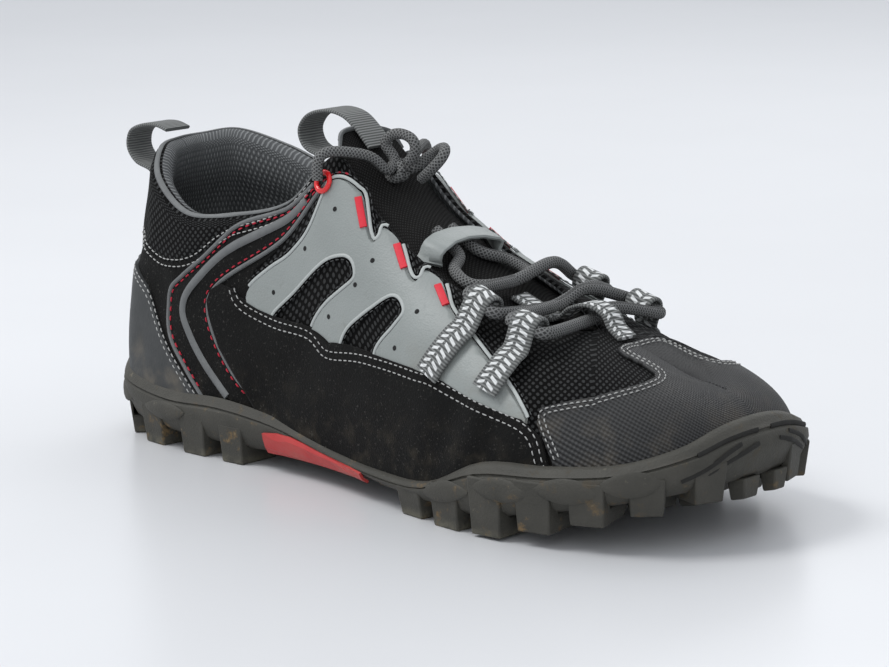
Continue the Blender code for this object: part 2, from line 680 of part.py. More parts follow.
def block(points_low, points_high):
    """A closed prism between two outlines with the same number of corners."""
    count = len(points_low)
    faces = [tuple(range(count))[::-1], tuple(range(count, 2 * count))]
    faces += [(k, (k + 1) % count, count + (k + 1) % count, count + k) for k in range(count)]
    return list(points_low) + list(points_high), faces


def flat_lug(at, side_place, length, width, turn, taper, height):
    """A lug inside the tread's edge, standing on the ground line and sunk into the sole's base."""
    x0, y0 = at * LENGTH, side_place * BALL_WIDTH
    low, high = [], []
    angle = math.radians(turn)
    for sx, sy in ((-1, -1), (1, -1), (1, 1), (-1, 1)):
        narrow = taper if sx > 0 else 1.0
        for outline, draft in ((low, LUG_DRAFT), (high, 0.0)):
            dx = sx * (length / 2 - draft)
            dy = sy * (width / 2 * narrow - draft)
            x = x0 + dx * math.cos(angle) - dy * math.sin(angle)
            y = y0 + dx * math.sin(angle) + dy * math.cos(angle)
            z = base_height(x) - height if outline is low else base_height(x) + LUG_ROOT
            outline.append(Vector((x, y, z)))
    return block(low, high)


def edge_lug(side, t, length, rise):
    """A lug on the tread's edge, which climbs the sole's side to a share of its height."""
    v = station(side, t)
    out = plan_outward(side, t)
    along = Vector((-out.y, out.x, 0.0))
    foot = upper_point(side, t, 0.0)
    ground = tread_height(foot.x + out.x * v[13])
    base = base_height(foot.x + out.x * v[13])
    top = base + (v[10] - base) * rise
    profile = ((-EDGE_LUG_DEPTH, ground), (v[13] + EDGE_LUG_LOW_PROUD, ground),
               (v[13] + (v[12] - v[13]) * rise + EDGE_LUG_HIGH_PROUD, top), (CURVED_GAP * 2, top),
               (CURVED_GAP * 2, base + LUG_ROOT), (-EDGE_LUG_DEPTH, base + LUG_ROOT))
    ends = []
    for end in (-1, 1):
        ends.append([Vector((0, 0, height)) + Vector((foot.x, foot.y, 0)) + out * reach
                     + along * (end * (length / 2 - (LUG_DRAFT if height == ground else 0.0)))
                     for reach, height in profile])
    return block(ends[0], ends[1])


def make_lugs(cutters, look):
    points, faces = [], []

    def take(shape):
        start = len(points)
        points.extend(shape[0])
        faces.extend(tuple(start + corner for corner in face) for face in shape[1])

    for at, side_place, length, width, turn, taper in INNER_LUGS:
        take(flat_lug(at, side_place, length * LENGTH, width * BALL_WIDTH, turn, taper, LUG_HEIGHT))
    for at, side_place in ARCH_LUGS:
        take(flat_lug(at, side_place, *ARCH_LUG_SIZE, 0, 1.0, ARCH_LUG_HEIGHT))
    for sign in (-1, 1):
        middle = sign * RAIL_SPACING / 2 / BALL_WIDTH
        at = (POCKET_CENTRE - RAIL_SETBACK) / LENGTH
        take(flat_lug(at, middle, RAIL_LENGTH, RAIL_WIDTH, 0, 1.0, LUG_HEIGHT))
        for t, length, rise in EDGE_LUGS[sign]:
            take(edge_lug(sign, t, length * LENGTH, rise))
    mesh = mesh_from(points, faces, "lugs")
    return guide(finish_mesh("lugs", place(mesh), look, cutters))


def make_outsole(look, where, cutters):
    item = finish_mesh("outsole", place(make_sole_body()), look, where)
    boolean(item, make_lugs(cutters, look), "UNION").use_self = True
    roof = base_height(POCKET_CENTRE) + POCKET_DEPTH
    pocket = rounded_box("pocket_cut", (POCKET_CENTRE, 0.0, roof - POCKET_CUT / 2),
                         (POCKET_LENGTH, POCKET_WIDTH, POCKET_CUT), POCKET_CORNER, cutters)
    boolean(item, pocket, "DIFFERENCE")
    return item


def make_cleat_plate(look, where, cutters):
    """Threaded plate under the pocket's roof, with two slots along the shoe."""
    top = base_height(POCKET_CENTRE) + POCKET_DEPTH - GAP
    centre = (POCKET_CENTRE, 0.0, top - PLATE_THICKNESS / 2)
    solid = rounded_box("cleat_plate_form", centre,
                        (POCKET_LENGTH - PLATE_INSET_X * 2, POCKET_WIDTH - PLATE_INSET_Y * 2,
                         PLATE_THICKNESS), PLATE_CORNER, cutters)
    item = finish_mesh("cleat_plate", solid.data, look, where)
    bpy.data.objects.remove(solid, do_unlink=True)
    for sign in (-1, 1):
        slot = rounded_box("slot_cut", (POCKET_CENTRE, sign * SLOT_SPACING / 2, centre[2]),
                           (SLOT_LENGTH, SLOT_WIDTH, PLATE_THICKNESS * 3), SLOT_WIDTH / 2 - 0.0001, cutters)
        boolean(item, slot, "DIFFERENCE")
    return item


def make_insole(look, where):
    """Footbed inside the upper's wall, on the cup sole's floor."""
    inset = UPPER_WALL + CURVED_GAP * 2
    places = [k / SECTION_STEPS for k in range(SECTION_STEPS, (LAST_ROW - 1) * SECTION_STEPS + 1)]
    points, faces, layers = [], [], []
    for lift in (CURVED_GAP + GAP, INSOLE_THICKNESS):
        rows = []
        for t in places:
            floor = [sole_profile(side, t)[0] for side in (-1, 1)]
            ends = [upper_point(side, t, 0.0) - plan_outward(side, t) * inset for side in (-1, 1)]
            shift = ends[0].x - floor[0].x
            row = across(floor[0], floor[1], crown_at(t))
            for end, beside, corner in ((ends[0], row[0], floor[0]), (ends[1], row[-1], floor[1])):
                share = (end.y - corner.y) / (beside.y - corner.y)
                end.z = corner.z + (beside.z - corner.z) * min(1.0, share)
            row = [ends[0], *(point + Vector((shift, 0.0, 0.0)) for point in row), ends[1]]
            rows.append(range(len(points), len(points) + len(row)))
            points.extend(point + Vector((0.0, 0.0, lift)) for point in row)
        layers.append(rows)
        for a, b in zip(rows, rows[1:]):
            faces.extend((a[k], b[k], b[k + 1], a[k + 1]) for k in range(len(a) - 1))
    low, high = layers
    for end in (0, -1):
        faces.extend((low[end][k], low[end][k + 1], high[end][k + 1], high[end][k])
                     for k in range(len(low[end]) - 1))
    for i in range(len(places) - 1):
        for k in (0, -1):
            faces.append((low[i][k], low[i + 1][k], high[i + 1][k], high[i][k]))
    return finish_mesh("insole", place(mesh_from(points, faces, "insole")), look, where)


def tongue_row(t, extension):
    """Points across the tongue at a throat station, from under one edge to under the other."""
    depth = UPPER_WALL + CURVED_GAP * 2
    row = {}
    for side in (-1, 1):
        span = (upper_point(side, t, 1.0) - upper_point(side, t, 0.9)).length * 10
        tuck = 1.0 - TONGUE_UNDERLAP / span
        row[side] = [on_upper(side, t, tuck + (1.0 - tuck) * k / 2, -depth) for k in range(3)]
    a, b = row[-1][2], row[1][2]
    handle = (b - a).length * np.interp(t, (6.2, 7.5), TONGUE_FULLNESS)
    pull_a = a + (row[-1][2] - row[-1][1]).normalized() * handle
    pull_b = b + (row[1][2] - row[1][1]).normalized() * handle
    middle = []
    for k in range(1, 6):
        u = k / 6
        middle.append(a * (1 - u) ** 3 + pull_a * (3 * u * (1 - u) ** 2)
                      + pull_b * (3 * u * u * (1 - u)) + b * u ** 3)
    return [point + extension for point in row[-1] + middle + row[1][::-1]]


def make_tongue(look, where):
    rows = [tongue_row(t, Vector()) for t in TONGUE_PLACES]
    last, before = TONGUE_PLACES[-1], TONGUE_PLACES[-2]
    lean = (tongue_row(last, Vector())[5] - tongue_row(before, Vector())[5]).normalized()
    for share, taper in zip((0.5, 1.0), TONGUE_TIP_TAPER):
        row = tongue_row(last, lean * TONGUE_EXTENSION * share)
        rows.append([row[5].lerp(point, taper) for point in row])
    return sheet("tongue", rows, look, where, TONGUE_THICKNESS, -1.0)


def tongue_crest(t, share, lift):
    """A point on the tongue between its edges, share -1 lateral to 1 medial, lifted off its face."""
    row = tongue_row(t, Vector())[2:9]
    place_on = (share + 1) / 2 * 6
    k = min(5, int(place_on))
    point = row[k].lerp(row[k + 1], place_on - k)
    side_way = row[min(6, k + 1)] - row[k]
    back = tongue_row(t - 0.1, Vector())[2:9]
    along = back[k].lerp(back[k + 1], place_on - k) - point
    normal = side_way.cross(along).normalized()
    if normal.z < 0:
        normal = -normal
    return point + normal * lift


def tube(name, route, radius, look, where, resolution=2):
    """A cord along a smooth curve through its route points."""
    route = [Vector(point) for point in route]
    points = []
    for k in range(len(route) - 1):
        p0 = route[max(k - 1, 0)]
        p1, p2 = route[k], route[k + 1]
        p3 = route[min(k + 2, len(route) - 1)]
        steps = max(1, round((p2 - p1).length / 0.006))
        for step in range(steps):
            f = step / steps
            points.append(0.5 * (2 * p1 + (p2 - p0) * f + (2 * p0 - 5 * p1 + 4 * p2 - p3) * f * f
                                 + (3 * p1 - p0 - 3 * p2 + p3) * f ** 3))
    points.append(route[-1])
    curve = bpy.data.curves.new(name, "CURVE")
    curve.dimensions = "3D"
    curve.bevel_depth = radius
    curve.bevel_resolution = resolution
    curve.use_fill_caps = True
    spline = curve.splines.new("POLY")
    spline.points.add(len(points) - 1)
    for item, point in zip(spline.points, points):
        item.co = (point.x - MIDDLE, point.y, point.z, 1.0)
    form = bpy.data.objects.new(name + "_route", curve)
    where.objects.link(form)
    graph = bpy.context.evaluated_depsgraph_get()
    mesh = bpy.data.meshes.new_from_object(form.evaluated_get(graph))
    bpy.data.objects.remove(form, do_unlink=True)
    work = bmesh.new()
    work.from_mesh(mesh)
    bmesh.ops.remove_doubles(work, verts=work.verts, dist=0.00001)
    bmesh.ops.recalc_face_normals(work, faces=work.faces)
    work.to_mesh(mesh)
    work.free()
    return finish_mesh(name, mesh, look, where)


def loop_frame(side, row):
    """Where a lace loop sits: its centre, the way out of the upper, towards the heel and up the strap."""
    foot = on_upper(side, row[0], row[1], 0.0)
    tip = on_upper(side, row[2], row[3], 0.0)
    normal = upper_normal(side, row[2], row[3])
    run = (tip - foot).normalized()
    rearward = run.cross(normal).normalized()
    if rearward.x > 0:
        rearward = -rearward
    climb = run - normal * run.dot(normal)
    return tip + normal * LACE_LIFT, normal, rearward, climb.normalized()


def make_lace_loop(name, side, row, look, where):
    """A strap up the upper's side that turns once round the lace."""
    centre, normal, rearward, climb = loop_frame(side, row)
    skim = CURVED_GAP * 3 + OVERLAY_THICKNESS + WEBBING_THICKNESS / 2
    path = [on_upper(side, row[0] + (row[2] - row[0]) * k / 7, row[1] + (row[3] - row[1]) * k / 7, skim)
            for k in range(6)]
    radius = LACE_DIAMETER / 2 + LACE_SLACK + WEBBING_THICKNESS / 2
    for degrees in (150, 110, 70, 30, -10, -50, -80):
        angle = math.radians(degrees)
        path.append(centre + climb * (math.cos(angle) * radius) + normal * (math.sin(angle) * radius))
    rows = [[point + rearward * (WEBBING_WIDTH * share) for share in (-0.5, 0.0, 0.5)] for point in path]
    return sheet(name, rows, look, where, WEBBING_THICKNESS)


def make_laces(look, where):
    """The crossings in front of the keeper, two runs joined where they cross and at the front bar."""
    lift = LACE_DIAMETER / 2 + CURVED_GAP
    halves = []
    for side in (-1, 1):
        route = [tongue_crest(TONGUE_PLACES[0], 0.0, lift + LACE_LIFT_AT_CROSSING) + Vector(LACE_BAR)]
        for index, way in enumerate((side, -side)):
            centre, _, rearward, _ = loop_frame(way, LACE_LOOPS[way][index])
            if way != side:
                route.append(tongue_crest(9.75, 0.0, lift + LACE_LIFT_AT_CROSSING))
            half = rearward * (WEBBING_WIDTH / 2 + LACE_DIAMETER / 2)
            turn = [centre - half, centre, centre + half]
            if way > 0:
                tip = LACE_LOOPS[way][index][2]
                turn = [on_upper(way, tip + 0.9, 0.95, EDGE_LIFT), *turn,
                        on_upper(way, tip + 0.2, 0.98, EDGE_LIFT)]
            route.extend(turn)
        route.extend(tongue_crest(t, side * share, lift + more) for t, share, more in LACE_REAR_RUN)
        name = "lace_crossings" if side < 0 else "lace_half"
        halves.append(tube(name, route, LACE_DIAMETER / 2, look, where, 2))
    return halves


def make_bow(look, where):
    """Knot, bow loops and ends of the lace: two short runs come out of the top eyelets to the knot."""
    radius = LACE_DIAMETER / 2 * FREE_LACE_SHARE
    knot = tongue_crest(*KNOT_PLACE, KNOT_LIFT)
    for word, side in (("lateral", -1), ("medial", 1)):
        start = on_upper(side, *EYELET_PLACE, CURVED_GAP + EYELET_HEIGHT + GAP + radius)
        route = [start, on_upper(side, 5.95, 0.985, 0.0062),
                 tongue_crest(6.35, side * 0.55, 0.0050), knot + Vector((0, side * 0.0052, 0.0004))]
        tube("lace_run_" + word, route, radius, look, where, 2)
    work = bmesh.new()
    bmesh.ops.create_icosphere(work, subdivisions=2, radius=1.0)
    for vertex in work.verts:
        vertex.co = vertex.co * Vector(KNOT_HALF_SIZE) + knot
    mesh = bpy.data.meshes.new("lace_knot")
    work.to_mesh(mesh)
    work.free()
    finish_mesh("lace_knot", place(mesh), look, where)
    for name, loop in (("lace_bow_front", BOW_FRONT), ("lace_bow_rear", BOW_REAR)):
        tube(name, [knot + Vector(point) for point in loop], radius, look, where, 2)


def make_keeper(look, where):
    """A band across the tongue that the two lace runs pass under."""
    rows = []
    for t in KEEPER_PLACES:
        row = []
        for share in KEEPER_SHARES:
            bridge = smooth((KEEPER_SHARES[-1] - abs(share)) / KEEPER_BRIDGE)
            lift = CURVED_GAP + WEBBING_THICKNESS / 2 + bridge * (LACE_DIAMETER + CURVED_GAP)
            row.append(tongue_crest(t, share, lift))
        rows.append(row)
    return sheet("tongue_keeper", rows, look, where, WEBBING_THICKNESS)


def make_eyelets(look, where):
    for name, side in (("eyelet_lateral", -1), ("eyelet_medial", 1)):
        base = on_upper(side, *EYELET_PLACE, CURVED_GAP + EYELET_HEIGHT / 2)
        turn = upper_normal(side, *EYELET_PLACE).to_track_quat("Z", "Y")
        count = EYELET_SIDES
        rows = []
        for radius, height in ((EYELET_HOLE / 2, -0.5), (EYELET_OUTER / 2, -0.5),
                               (EYELET_OUTER / 2 - EYELET_ROUNDING, 0.4),
                               (EYELET_OUTER / 2 - EYELET_ROUNDING * 2, 0.5), (EYELET_HOLE / 2, 0.3)):
            rows.append([base + turn @ Vector((radius * math.cos(2 * math.pi * k / count),
                                               radius * math.sin(2 * math.pi * k / count),
                                               height * EYELET_HEIGHT)) for k in range(count)])
        rows.append(rows[0])
        points = [point for row in rows for point in row]
        mesh = mesh_from(points, grid_faces(len(rows), count, closed=True), name)
        finish_mesh(name, place(mesh), look, where)


def ribbon(name, path, look, where):
    """A strap along a path in a plane of constant y, as wide as a pull loop."""
    half = PULL_LOOP_WIDTH / 2
    rows = [[Vector((x, y - half, z)), Vector((x, y, z)), Vector((x, y + half, z))] for x, y, z in path]
    return sheet(name, rows, look, where, WEBBING_THICKNESS)


def make_pull_loops(look, where):
    top_of_heel = upper_point(-1, 0.0, 1.0)
    top_of_tongue = tongue_row(TONGUE_PLACES[-1], Vector())[5]
    for name, start, path in (("heel_pull_loop", top_of_heel, HEEL_PULL),
                              ("tongue_pull_loop", top_of_tongue, TONGUE_PULL)):
        ribbon(name, [(start.x + x, start.y, start.z + z) for x, z in path], look, where)


def make_vamp_webbing(look, where):
    """Strap down the middle of the vamp, from the toe cap's tab up over the front lace bar."""
    half = WEBBING_THICKNESS / 2
    path = [on_upper(-1, t, 1.0, lift + half) for t, lift in VAMP_ON_RIDGE]
    path.append(tongue_crest(TONGUE_PLACES[0], 0.0, VAMP_OVER_BAR + half) + Vector(LACE_BAR))
    path.extend(tongue_crest(t, 0.0, lift + half) for t, lift in VAMP_ON_TONGUE)
    rows = []
    for point in path:
        rows.append([point + Vector((0, offset * WEBBING_WIDTH * 0.45, 0)) for offset in (-1, 0, 1)])
    return sheet("vamp_webbing", rows, look, where, WEBBING_THICKNESS)


def make_arch_inserts(look, where):
    """A diamond of soft rubber on each side of the waist, laid on the sole's own side."""
    for name, side in (("arch_insert_lateral", -1), ("arch_insert_medial", 1)):
        rows = []
        for k in range(INSERT_STEPS + 1):
            t = INSERT_PLACES[0] + (INSERT_PLACES[1] - INSERT_PLACES[0]) * k / INSERT_STEPS
            profile = sole_profile(side, t)[-4:]
            out = plan_outward(side, t)
            half = 0.30 + 0.62 * min(1.0, 1.15 * math.sin(math.pi * (k + 0.6) / 9.2))
            row = []
            for j in range(5):
                place_on = 1.55 - half * 1.25 + half * 2.3 * j / 4
                index = min(2, max(0, int(place_on)))
                point = profile[index].lerp(profile[index + 1], place_on - index)
                edge = (profile[index + 1] - profile[index]).normalized()
                normal = Vector((out.x * -edge.z, out.y * -edge.z, out.x * edge.x + out.y * edge.y))
                if normal.dot(out) < 0 and abs(normal.z) < 0.9:
                    normal = -normal
                if index == 2:
                    normal = (out * 0.35 - Vector((0, 0, 1.0))).normalized()
                row.append(point + normal.normalized() * (CURVED_GAP + 0.0007))
            rows.append(row)
        sheet(name, rows, look, where, INSERT_THICKNESS)


def build():
    clear_scene()
    looks = {
        "upper": material("black_suede", BLACK_CLOTH, 0.95),
        "panel": material("grey_panel", BLUE_GREY, 0.60),
        "counter": material("heel_rubber", (0.045, 0.047, 0.048), 0.60),
        "toe": material("toe_cloth", (0.030, 0.030, 0.032), 0.85),
        "rubber": material("sole_rubber", RUBBER, 0.75),
        "red": material("red_rubber", RED, 0.50),
        "steel": material("plate_steel", (0.55, 0.55, 0.54), 0.35, 1.0),
        "insole": material("insole_foam", (0.10, 0.10, 0.10), 0.90),
        "tongue": material("tongue_cloth", BLACK_CLOTH, 0.90),
        "webbing": material("grey_webbing", (0.20, 0.21, 0.20), 0.80),
        "lace": material("grey_lace", (0.14, 0.14, 0.13), 0.80),
    }
    shoe = collection("cycling_shoe_right")
    cutters = collection("cutters")
    make_outsole(looks["rubber"], shoe, cutters)
    make_cleat_plate(looks["steel"], shoe, cutters)
    make_arch_inserts(looks["red"], shoe)
    make_insole(looks["insole"], shoe)
    make_upper(looks["upper"], shoe)
    make_overlays(looks, shoe, cutters)
    make_tongue(looks["tongue"], shoe)
    make_keeper(looks["webbing"], shoe)
    crossings, half = make_laces(looks["lace"], shoe)
    shoe.objects.unlink(half)
    cutters.objects.link(guide(half))
    boolean(crossings, half, "UNION")
    for word, side in (("lateral", -1), ("medial", 1)):
        for index, row in enumerate(LACE_LOOPS[side], 1):
            make_lace_loop("lace_loop_%s_%d" % (word, index), side, row, looks["webbing"], shoe)
    make_vamp_webbing(looks["webbing"], shoe)
    make_bow(looks["lace"], shoe)
    make_eyelets(looks["red"], shoe)
    make_pull_loops(looks["webbing"], shoe)


build()
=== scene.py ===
# Looks of a lace-up cycling shoe for the right foot. Lengths are metres. The shoe's own sizes and sections
# are repeated here so that every panel, seam and cord lies on the same surface as the solids.
import math

import bmesh
import bpy
import numpy as np
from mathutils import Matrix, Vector


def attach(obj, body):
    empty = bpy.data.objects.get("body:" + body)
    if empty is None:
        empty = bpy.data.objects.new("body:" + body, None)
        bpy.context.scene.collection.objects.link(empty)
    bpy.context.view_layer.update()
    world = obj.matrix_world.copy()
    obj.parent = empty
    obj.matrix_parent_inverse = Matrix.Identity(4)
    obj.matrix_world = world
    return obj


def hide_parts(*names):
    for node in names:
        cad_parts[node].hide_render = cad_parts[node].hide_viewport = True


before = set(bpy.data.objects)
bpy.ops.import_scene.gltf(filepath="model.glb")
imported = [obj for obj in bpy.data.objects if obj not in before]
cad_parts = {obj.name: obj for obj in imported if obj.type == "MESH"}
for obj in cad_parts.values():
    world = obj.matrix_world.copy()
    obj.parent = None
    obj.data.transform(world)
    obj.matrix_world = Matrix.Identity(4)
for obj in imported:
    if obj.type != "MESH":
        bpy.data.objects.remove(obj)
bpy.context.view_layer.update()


# Driving sizes of the last and the upper
LENGTH = 0.295
BALL_WIDTH = 0.094
COLLAR_HEIGHT = 0.107
INSTEP_HEIGHT = 0.112
TOE_HEIGHT = 0.058
FEATHER_HEIGHT = 0.015
UPPER_WALL = 0.0025
COLLAR_PAD = 0.0085
OVERLAY_THICKNESS = 0.0012
GAP = 0.0003
CURVED_GAP = 0.0006
SEAT_GAP = 0.0010

# Sole
RIM_HEIGHT = 0.024
SOLE_FLARE = 0.0065
LUG_HEIGHT = 0.0060
ARCH_LUG_HEIGHT = 0.0030
LUG_DRAFT = 0.0008
TOE_SPRING = 0.019
TOE_SPRING_LENGTH = 0.083
TOE_SPRING_POWER = 1.15
HEEL_BEVEL = 0.005
HEEL_BEVEL_LENGTH = 0.016
ARCH_RISE = 0.0012
FLOOR_CROWN = 0.003

# Cleat pocket and the rails beside it
POCKET_CENTRE = 0.196
POCKET_LENGTH = 0.058
POCKET_WIDTH = 0.033
POCKET_DEPTH = 0.0035
RAIL_SPACING = 0.047
RAIL_WIDTH = 0.0075
RAIL_LENGTH = 0.045

# Tongue, laces, webbing and eyelets
TONGUE_THICKNESS = 0.0045
TONGUE_UNDERLAP = 0.008
TONGUE_EXTENSION = 0.011
TONGUE_FULLNESS = (0.14, 0.30)
LACE_DIAMETER = 0.0042
WEBBING_WIDTH = 0.010
WEBBING_THICKNESS = 0.0013
EYELET_OUTER = 0.0085
EYELET_HOLE = 0.0045
EYELET_HEIGHT = 0.0016

# Sections of the upper from the heel's centre line forward to the toe tip. "at" and "edge_at" are shares
# of LENGTH, the widths are shares of BALL_WIDTH, the rises are shares of the height named by HEIGHT_OF_ROW,
# the arrival is an angle in degrees and the pulls are shares of the section's own size.
COLUMNS = ("at", "lateral", "medial", "edge_at", "edge_lateral", "edge_medial",
           "rise_lateral", "rise_medial", "arrival", "low_pull", "high_pull", "belly")
SECTIONS = (
    (0.015, 0.000, 0.000, 0.045, 0.000, 0.000, 1.000, 1.000, 84, 0.36, 0.30, 0.043),
    (0.026, 0.160, 0.160, 0.054, 0.117, 0.117, 0.981, 1.009, 84, 0.36, 0.30, 0.032),
    (0.068, 0.282, 0.277, 0.090, 0.234, 0.239, 0.897, 1.019, 86, 0.36, 0.30, 0.032),
    (0.155, 0.330, 0.324, 0.165, 0.298, 0.293, 0.804, 0.972, 88, 0.36, 0.30, 0.027),
    (0.245, 0.340, 0.330, 0.252, 0.298, 0.287, 0.822, 0.916, 84, 0.36, 0.30, 0.021),
    (0.340, 0.340, 0.319, 0.338, 0.266, 0.240, 0.884, 0.920, 76, 0.40, 0.32, 0.021),
    (0.440, 0.372, 0.330, 0.410, 0.223, 0.172, 1.000, 0.975, 62, 0.42, 0.34, 0.021),
    (0.540, 0.431, 0.388, 0.478, 0.234, 0.172, 0.839, 0.825, 50, 0.46, 0.36, 0.027),
    (0.635, 0.484, 0.452, 0.555, 0.239, 0.176, 0.705, 0.705, 38, 0.50, 0.40, 0.032),
    (0.725, 0.511, 0.484, 0.637, 0.213, 0.165, 0.607, 0.612, 22, 0.52, 0.48, 0.032),
    (0.812, 0.484, 0.473, 0.705, 0.106, 0.090, 1.069, 1.069, 10, 0.55, 0.55, 0.032),
    (0.885, 0.410, 0.426, 0.762, 0.000, 0.000, 1.000, 1.000, 4, 0.60, 0.60, 0.032),
    (0.932, 0.282, 0.330, 0.815, 0.000, 0.000, 0.914, 0.914, 3, 0.66, 0.64, 0.027),
    (0.952, 0.138, 0.202, 0.855, 0.000, 0.000, 0.845, 0.845, 3, 0.70, 0.66, 0.021),
    (0.959, 0.000, 0.000, 0.872, 0.000, 0.000, 0.810, 0.810, 3, 0.72, 0.68, 0.021),
)
HEIGHT_OF_ROW = (COLLAR_HEIGHT,) * 6 + (INSTEP_HEIGHT,) * 4 + (TOE_HEIGHT,) * 5
LAST_ROW = len(SECTIONS) - 1
VAMP_POINT = 10.6
TOE_OFFSET = 0.043
RIDGE_OFFSET = 0.021

# The part's origin is under the middle of the shoe's overall box, pull loop included
TOE_END = 0.9773
PULL_LOOP_REACH = 0.0065
MIDDLE = (TOE_END * LENGTH - PULL_LOOP_REACH) / 2

# Height of the upper's lower edge along the shoe, as shares of LENGTH and FEATHER_HEIGHT
FEATHER_AT = (0.00, 0.30, 0.42, 0.55, 0.63, 0.75, 0.85, 0.93, 1.00)
FEATHER_RISE = (1.00, 1.00, 0.82, 0.66, 0.65, 0.80, 1.08, 1.40, 1.65)

# Sole side, a row for each section of the upper: the rim's height is a share of RIM_HEIGHT, and the rim,
# the bulge of the side and the tread's edge stand out of the upper by shares of SOLE_FLARE. The columns
# are rim, rim_out, side_out and tread_out.
SOLE_SECTIONS = (
    (1.25, 0.38, 0.50, 0.00),
    (1.17, 0.38, 0.50, 0.00),
    (1.00, 0.38, 0.60, 0.10),
    (0.88, 0.38, 0.77, 0.38),
    (0.92, 0.38, 0.77, 0.45),
    (0.79, 0.38, 0.65, 0.38),
    (0.54, 0.46, 0.54, 0.23),
    (0.47, 0.62, 0.70, 0.30),
    (0.54, 0.69, 0.92, 0.54),
    (1.00, 0.77, 1.00, 0.77),
    (1.08, 0.77, 1.04, 0.77),
    (1.18, 0.77, 1.00, 0.66),
    (1.38, 0.72, 0.88, 0.48),
    (1.58, 0.66, 0.80, 0.36),
    (1.64, 0.62, 0.78, 0.32),
)

# Sole section: the rim's rounding, the heights of bulge and shoulder as shares of the side, and the tread's
# chamfer. The bulge and the lugs' roots and faces use these lengths too.
RIM_ROUNDING = 0.0008
BULGE_SHARE = 0.55
SHOULDER_SHARE = 0.12
TREAD_CHAMFER = 0.0025
CROWN_FADE = 3
LUG_ROOT = 0.0008
EDGE_LUG_LOW_PROUD = 0.0008
EDGE_LUG_HIGH_PROUD = 0.0010
POCKET_CORNER = 0.006
POCKET_CUT = 0.020
RAIL_SETBACK = 0.004

# Where the collar's padding starts up the side and ends along the shoe
PADDING_SHARE = 0.66
PADDING_RISE = 0.22
PADDING_END = 6.0
PADDING_FADE = 1.6

# Row after which the toe's ridge leaves the middle, and the rows that this takes
RIDGE_START = 6
RIDGE_RUN = 5

# Outline of the heel counter from the side, as shares of LENGTH and COLLAR_HEIGHT
COUNTER_OUTLINE = ((-0.03, 0.10), (0.200, 0.10), (0.200, 0.196), (0.153, 0.318), (0.117, 0.439),
                   (0.097, 0.530), (0.060, 0.590), (-0.03, 0.615))

# Lugs of the tread, with the columns at, across, length, width, turn and taper: the place and length are
# shares of LENGTH, across and width shares of BALL_WIDTH, the turn degrees and the taper a share of width.
INNER_LUGS = (
    (0.282, -0.095, 0.044, 0.110, 10, 0.85), (0.282, 0.075, 0.044, 0.110, -10, 0.85),
    (0.225, -0.110, 0.044, 0.120, 8, 0.90), (0.225, 0.090, 0.044, 0.120, -8, 0.90),
    (0.166, -0.115, 0.046, 0.130, 4, 0.95), (0.166, 0.095, 0.046, 0.130, -4, 0.95),
    (0.108, -0.115, 0.044, 0.130, 0, 1.00), (0.108, 0.095, 0.044, 0.130, 0, 1.00),
    (0.050, -0.095, 0.036, 0.110, -8, 1.05), (0.050, 0.085, 0.036, 0.110, 8, 1.05),
    (0.860, -0.135, 0.038, 0.160, -14, 0.80), (0.866, 0.150, 0.038, 0.160, 12, 0.80),
    (0.908, -0.075, 0.030, 0.130, -10, 0.80), (0.914, 0.160, 0.030, 0.120, 12, 0.80),
    (0.805, -0.190, 0.036, 0.160, -10, 0.80), (0.808, 0.180, 0.036, 0.150, 10, 0.80),
    (0.955, -0.015, 0.022, 0.110, 0, 0.80), (0.958, 0.135, 0.020, 0.090, 0, 0.80),
)
# Lugs on the tread's edge, with the columns place, length as a share of LENGTH, and share of the side climbed
HEEL_EDGE_LUGS = ((1.6, 0.034, 0.60), (2.6, 0.042, 0.55), (3.5, 0.044, 0.50), (4.25, 0.040, 0.50))
EDGE_LUGS = {
    -1: (*HEEL_EDGE_LUGS, (7.75, 0.042, 0.70), (8.45, 0.046, 0.75), (9.15, 0.046, 0.75),
         (9.85, 0.046, 0.75), (10.6, 0.044, 0.70), (11.45, 0.040, 0.60), (12.6, 0.040, 0.55)),
    1: (*HEEL_EDGE_LUGS, (8.0, 0.042, 0.70), (8.7, 0.046, 0.75), (9.4, 0.046, 0.75),
        (10.1, 0.044, 0.75), (10.9, 0.044, 0.65), (11.8, 0.042, 0.55), (12.9, 0.036, 0.50)),
}
EDGE_LUG_DEPTH = 0.013
# Low lugs of the waist, with the columns at and across
ARCH_LUGS = ((0.525, -0.330), (0.495, -0.300), (0.455, -0.255), (0.415, -0.215), (0.378, -0.200),
             (0.510, 0.120), (0.468, -0.075), (0.425, -0.055), (0.385, -0.040),
             (0.462, 0.095), (0.420, 0.095), (0.380, 0.125), (0.345, -0.190))
ARCH_LUG_SIZE = (0.0075, 0.0105)

# Tongue: its front end on the vamp, the throat's end, and the run between them
TONGUE_FRONT = 10.2
TONGUE_REAR = 6.2
TONGUE_RUN = 4.0
TONGUE_STEPS = 40
TONGUE_POINTS = 44
TONGUE_BEVEL = 0.0018
TONGUE_THINNING = 0.0006
TONGUE_CELL = (0.0045, 0.0018)
TIP_SHARES = (0.2, 0.4, 0.6, 0.8, 0.92, 1.0)
TIP_NARROWING = 0.20
TIP_POWER = 1.6
TONGUE_BINDING = (0.0016, 0.0008)
COLLAR_BINDING = (0.0011, 0.0006)

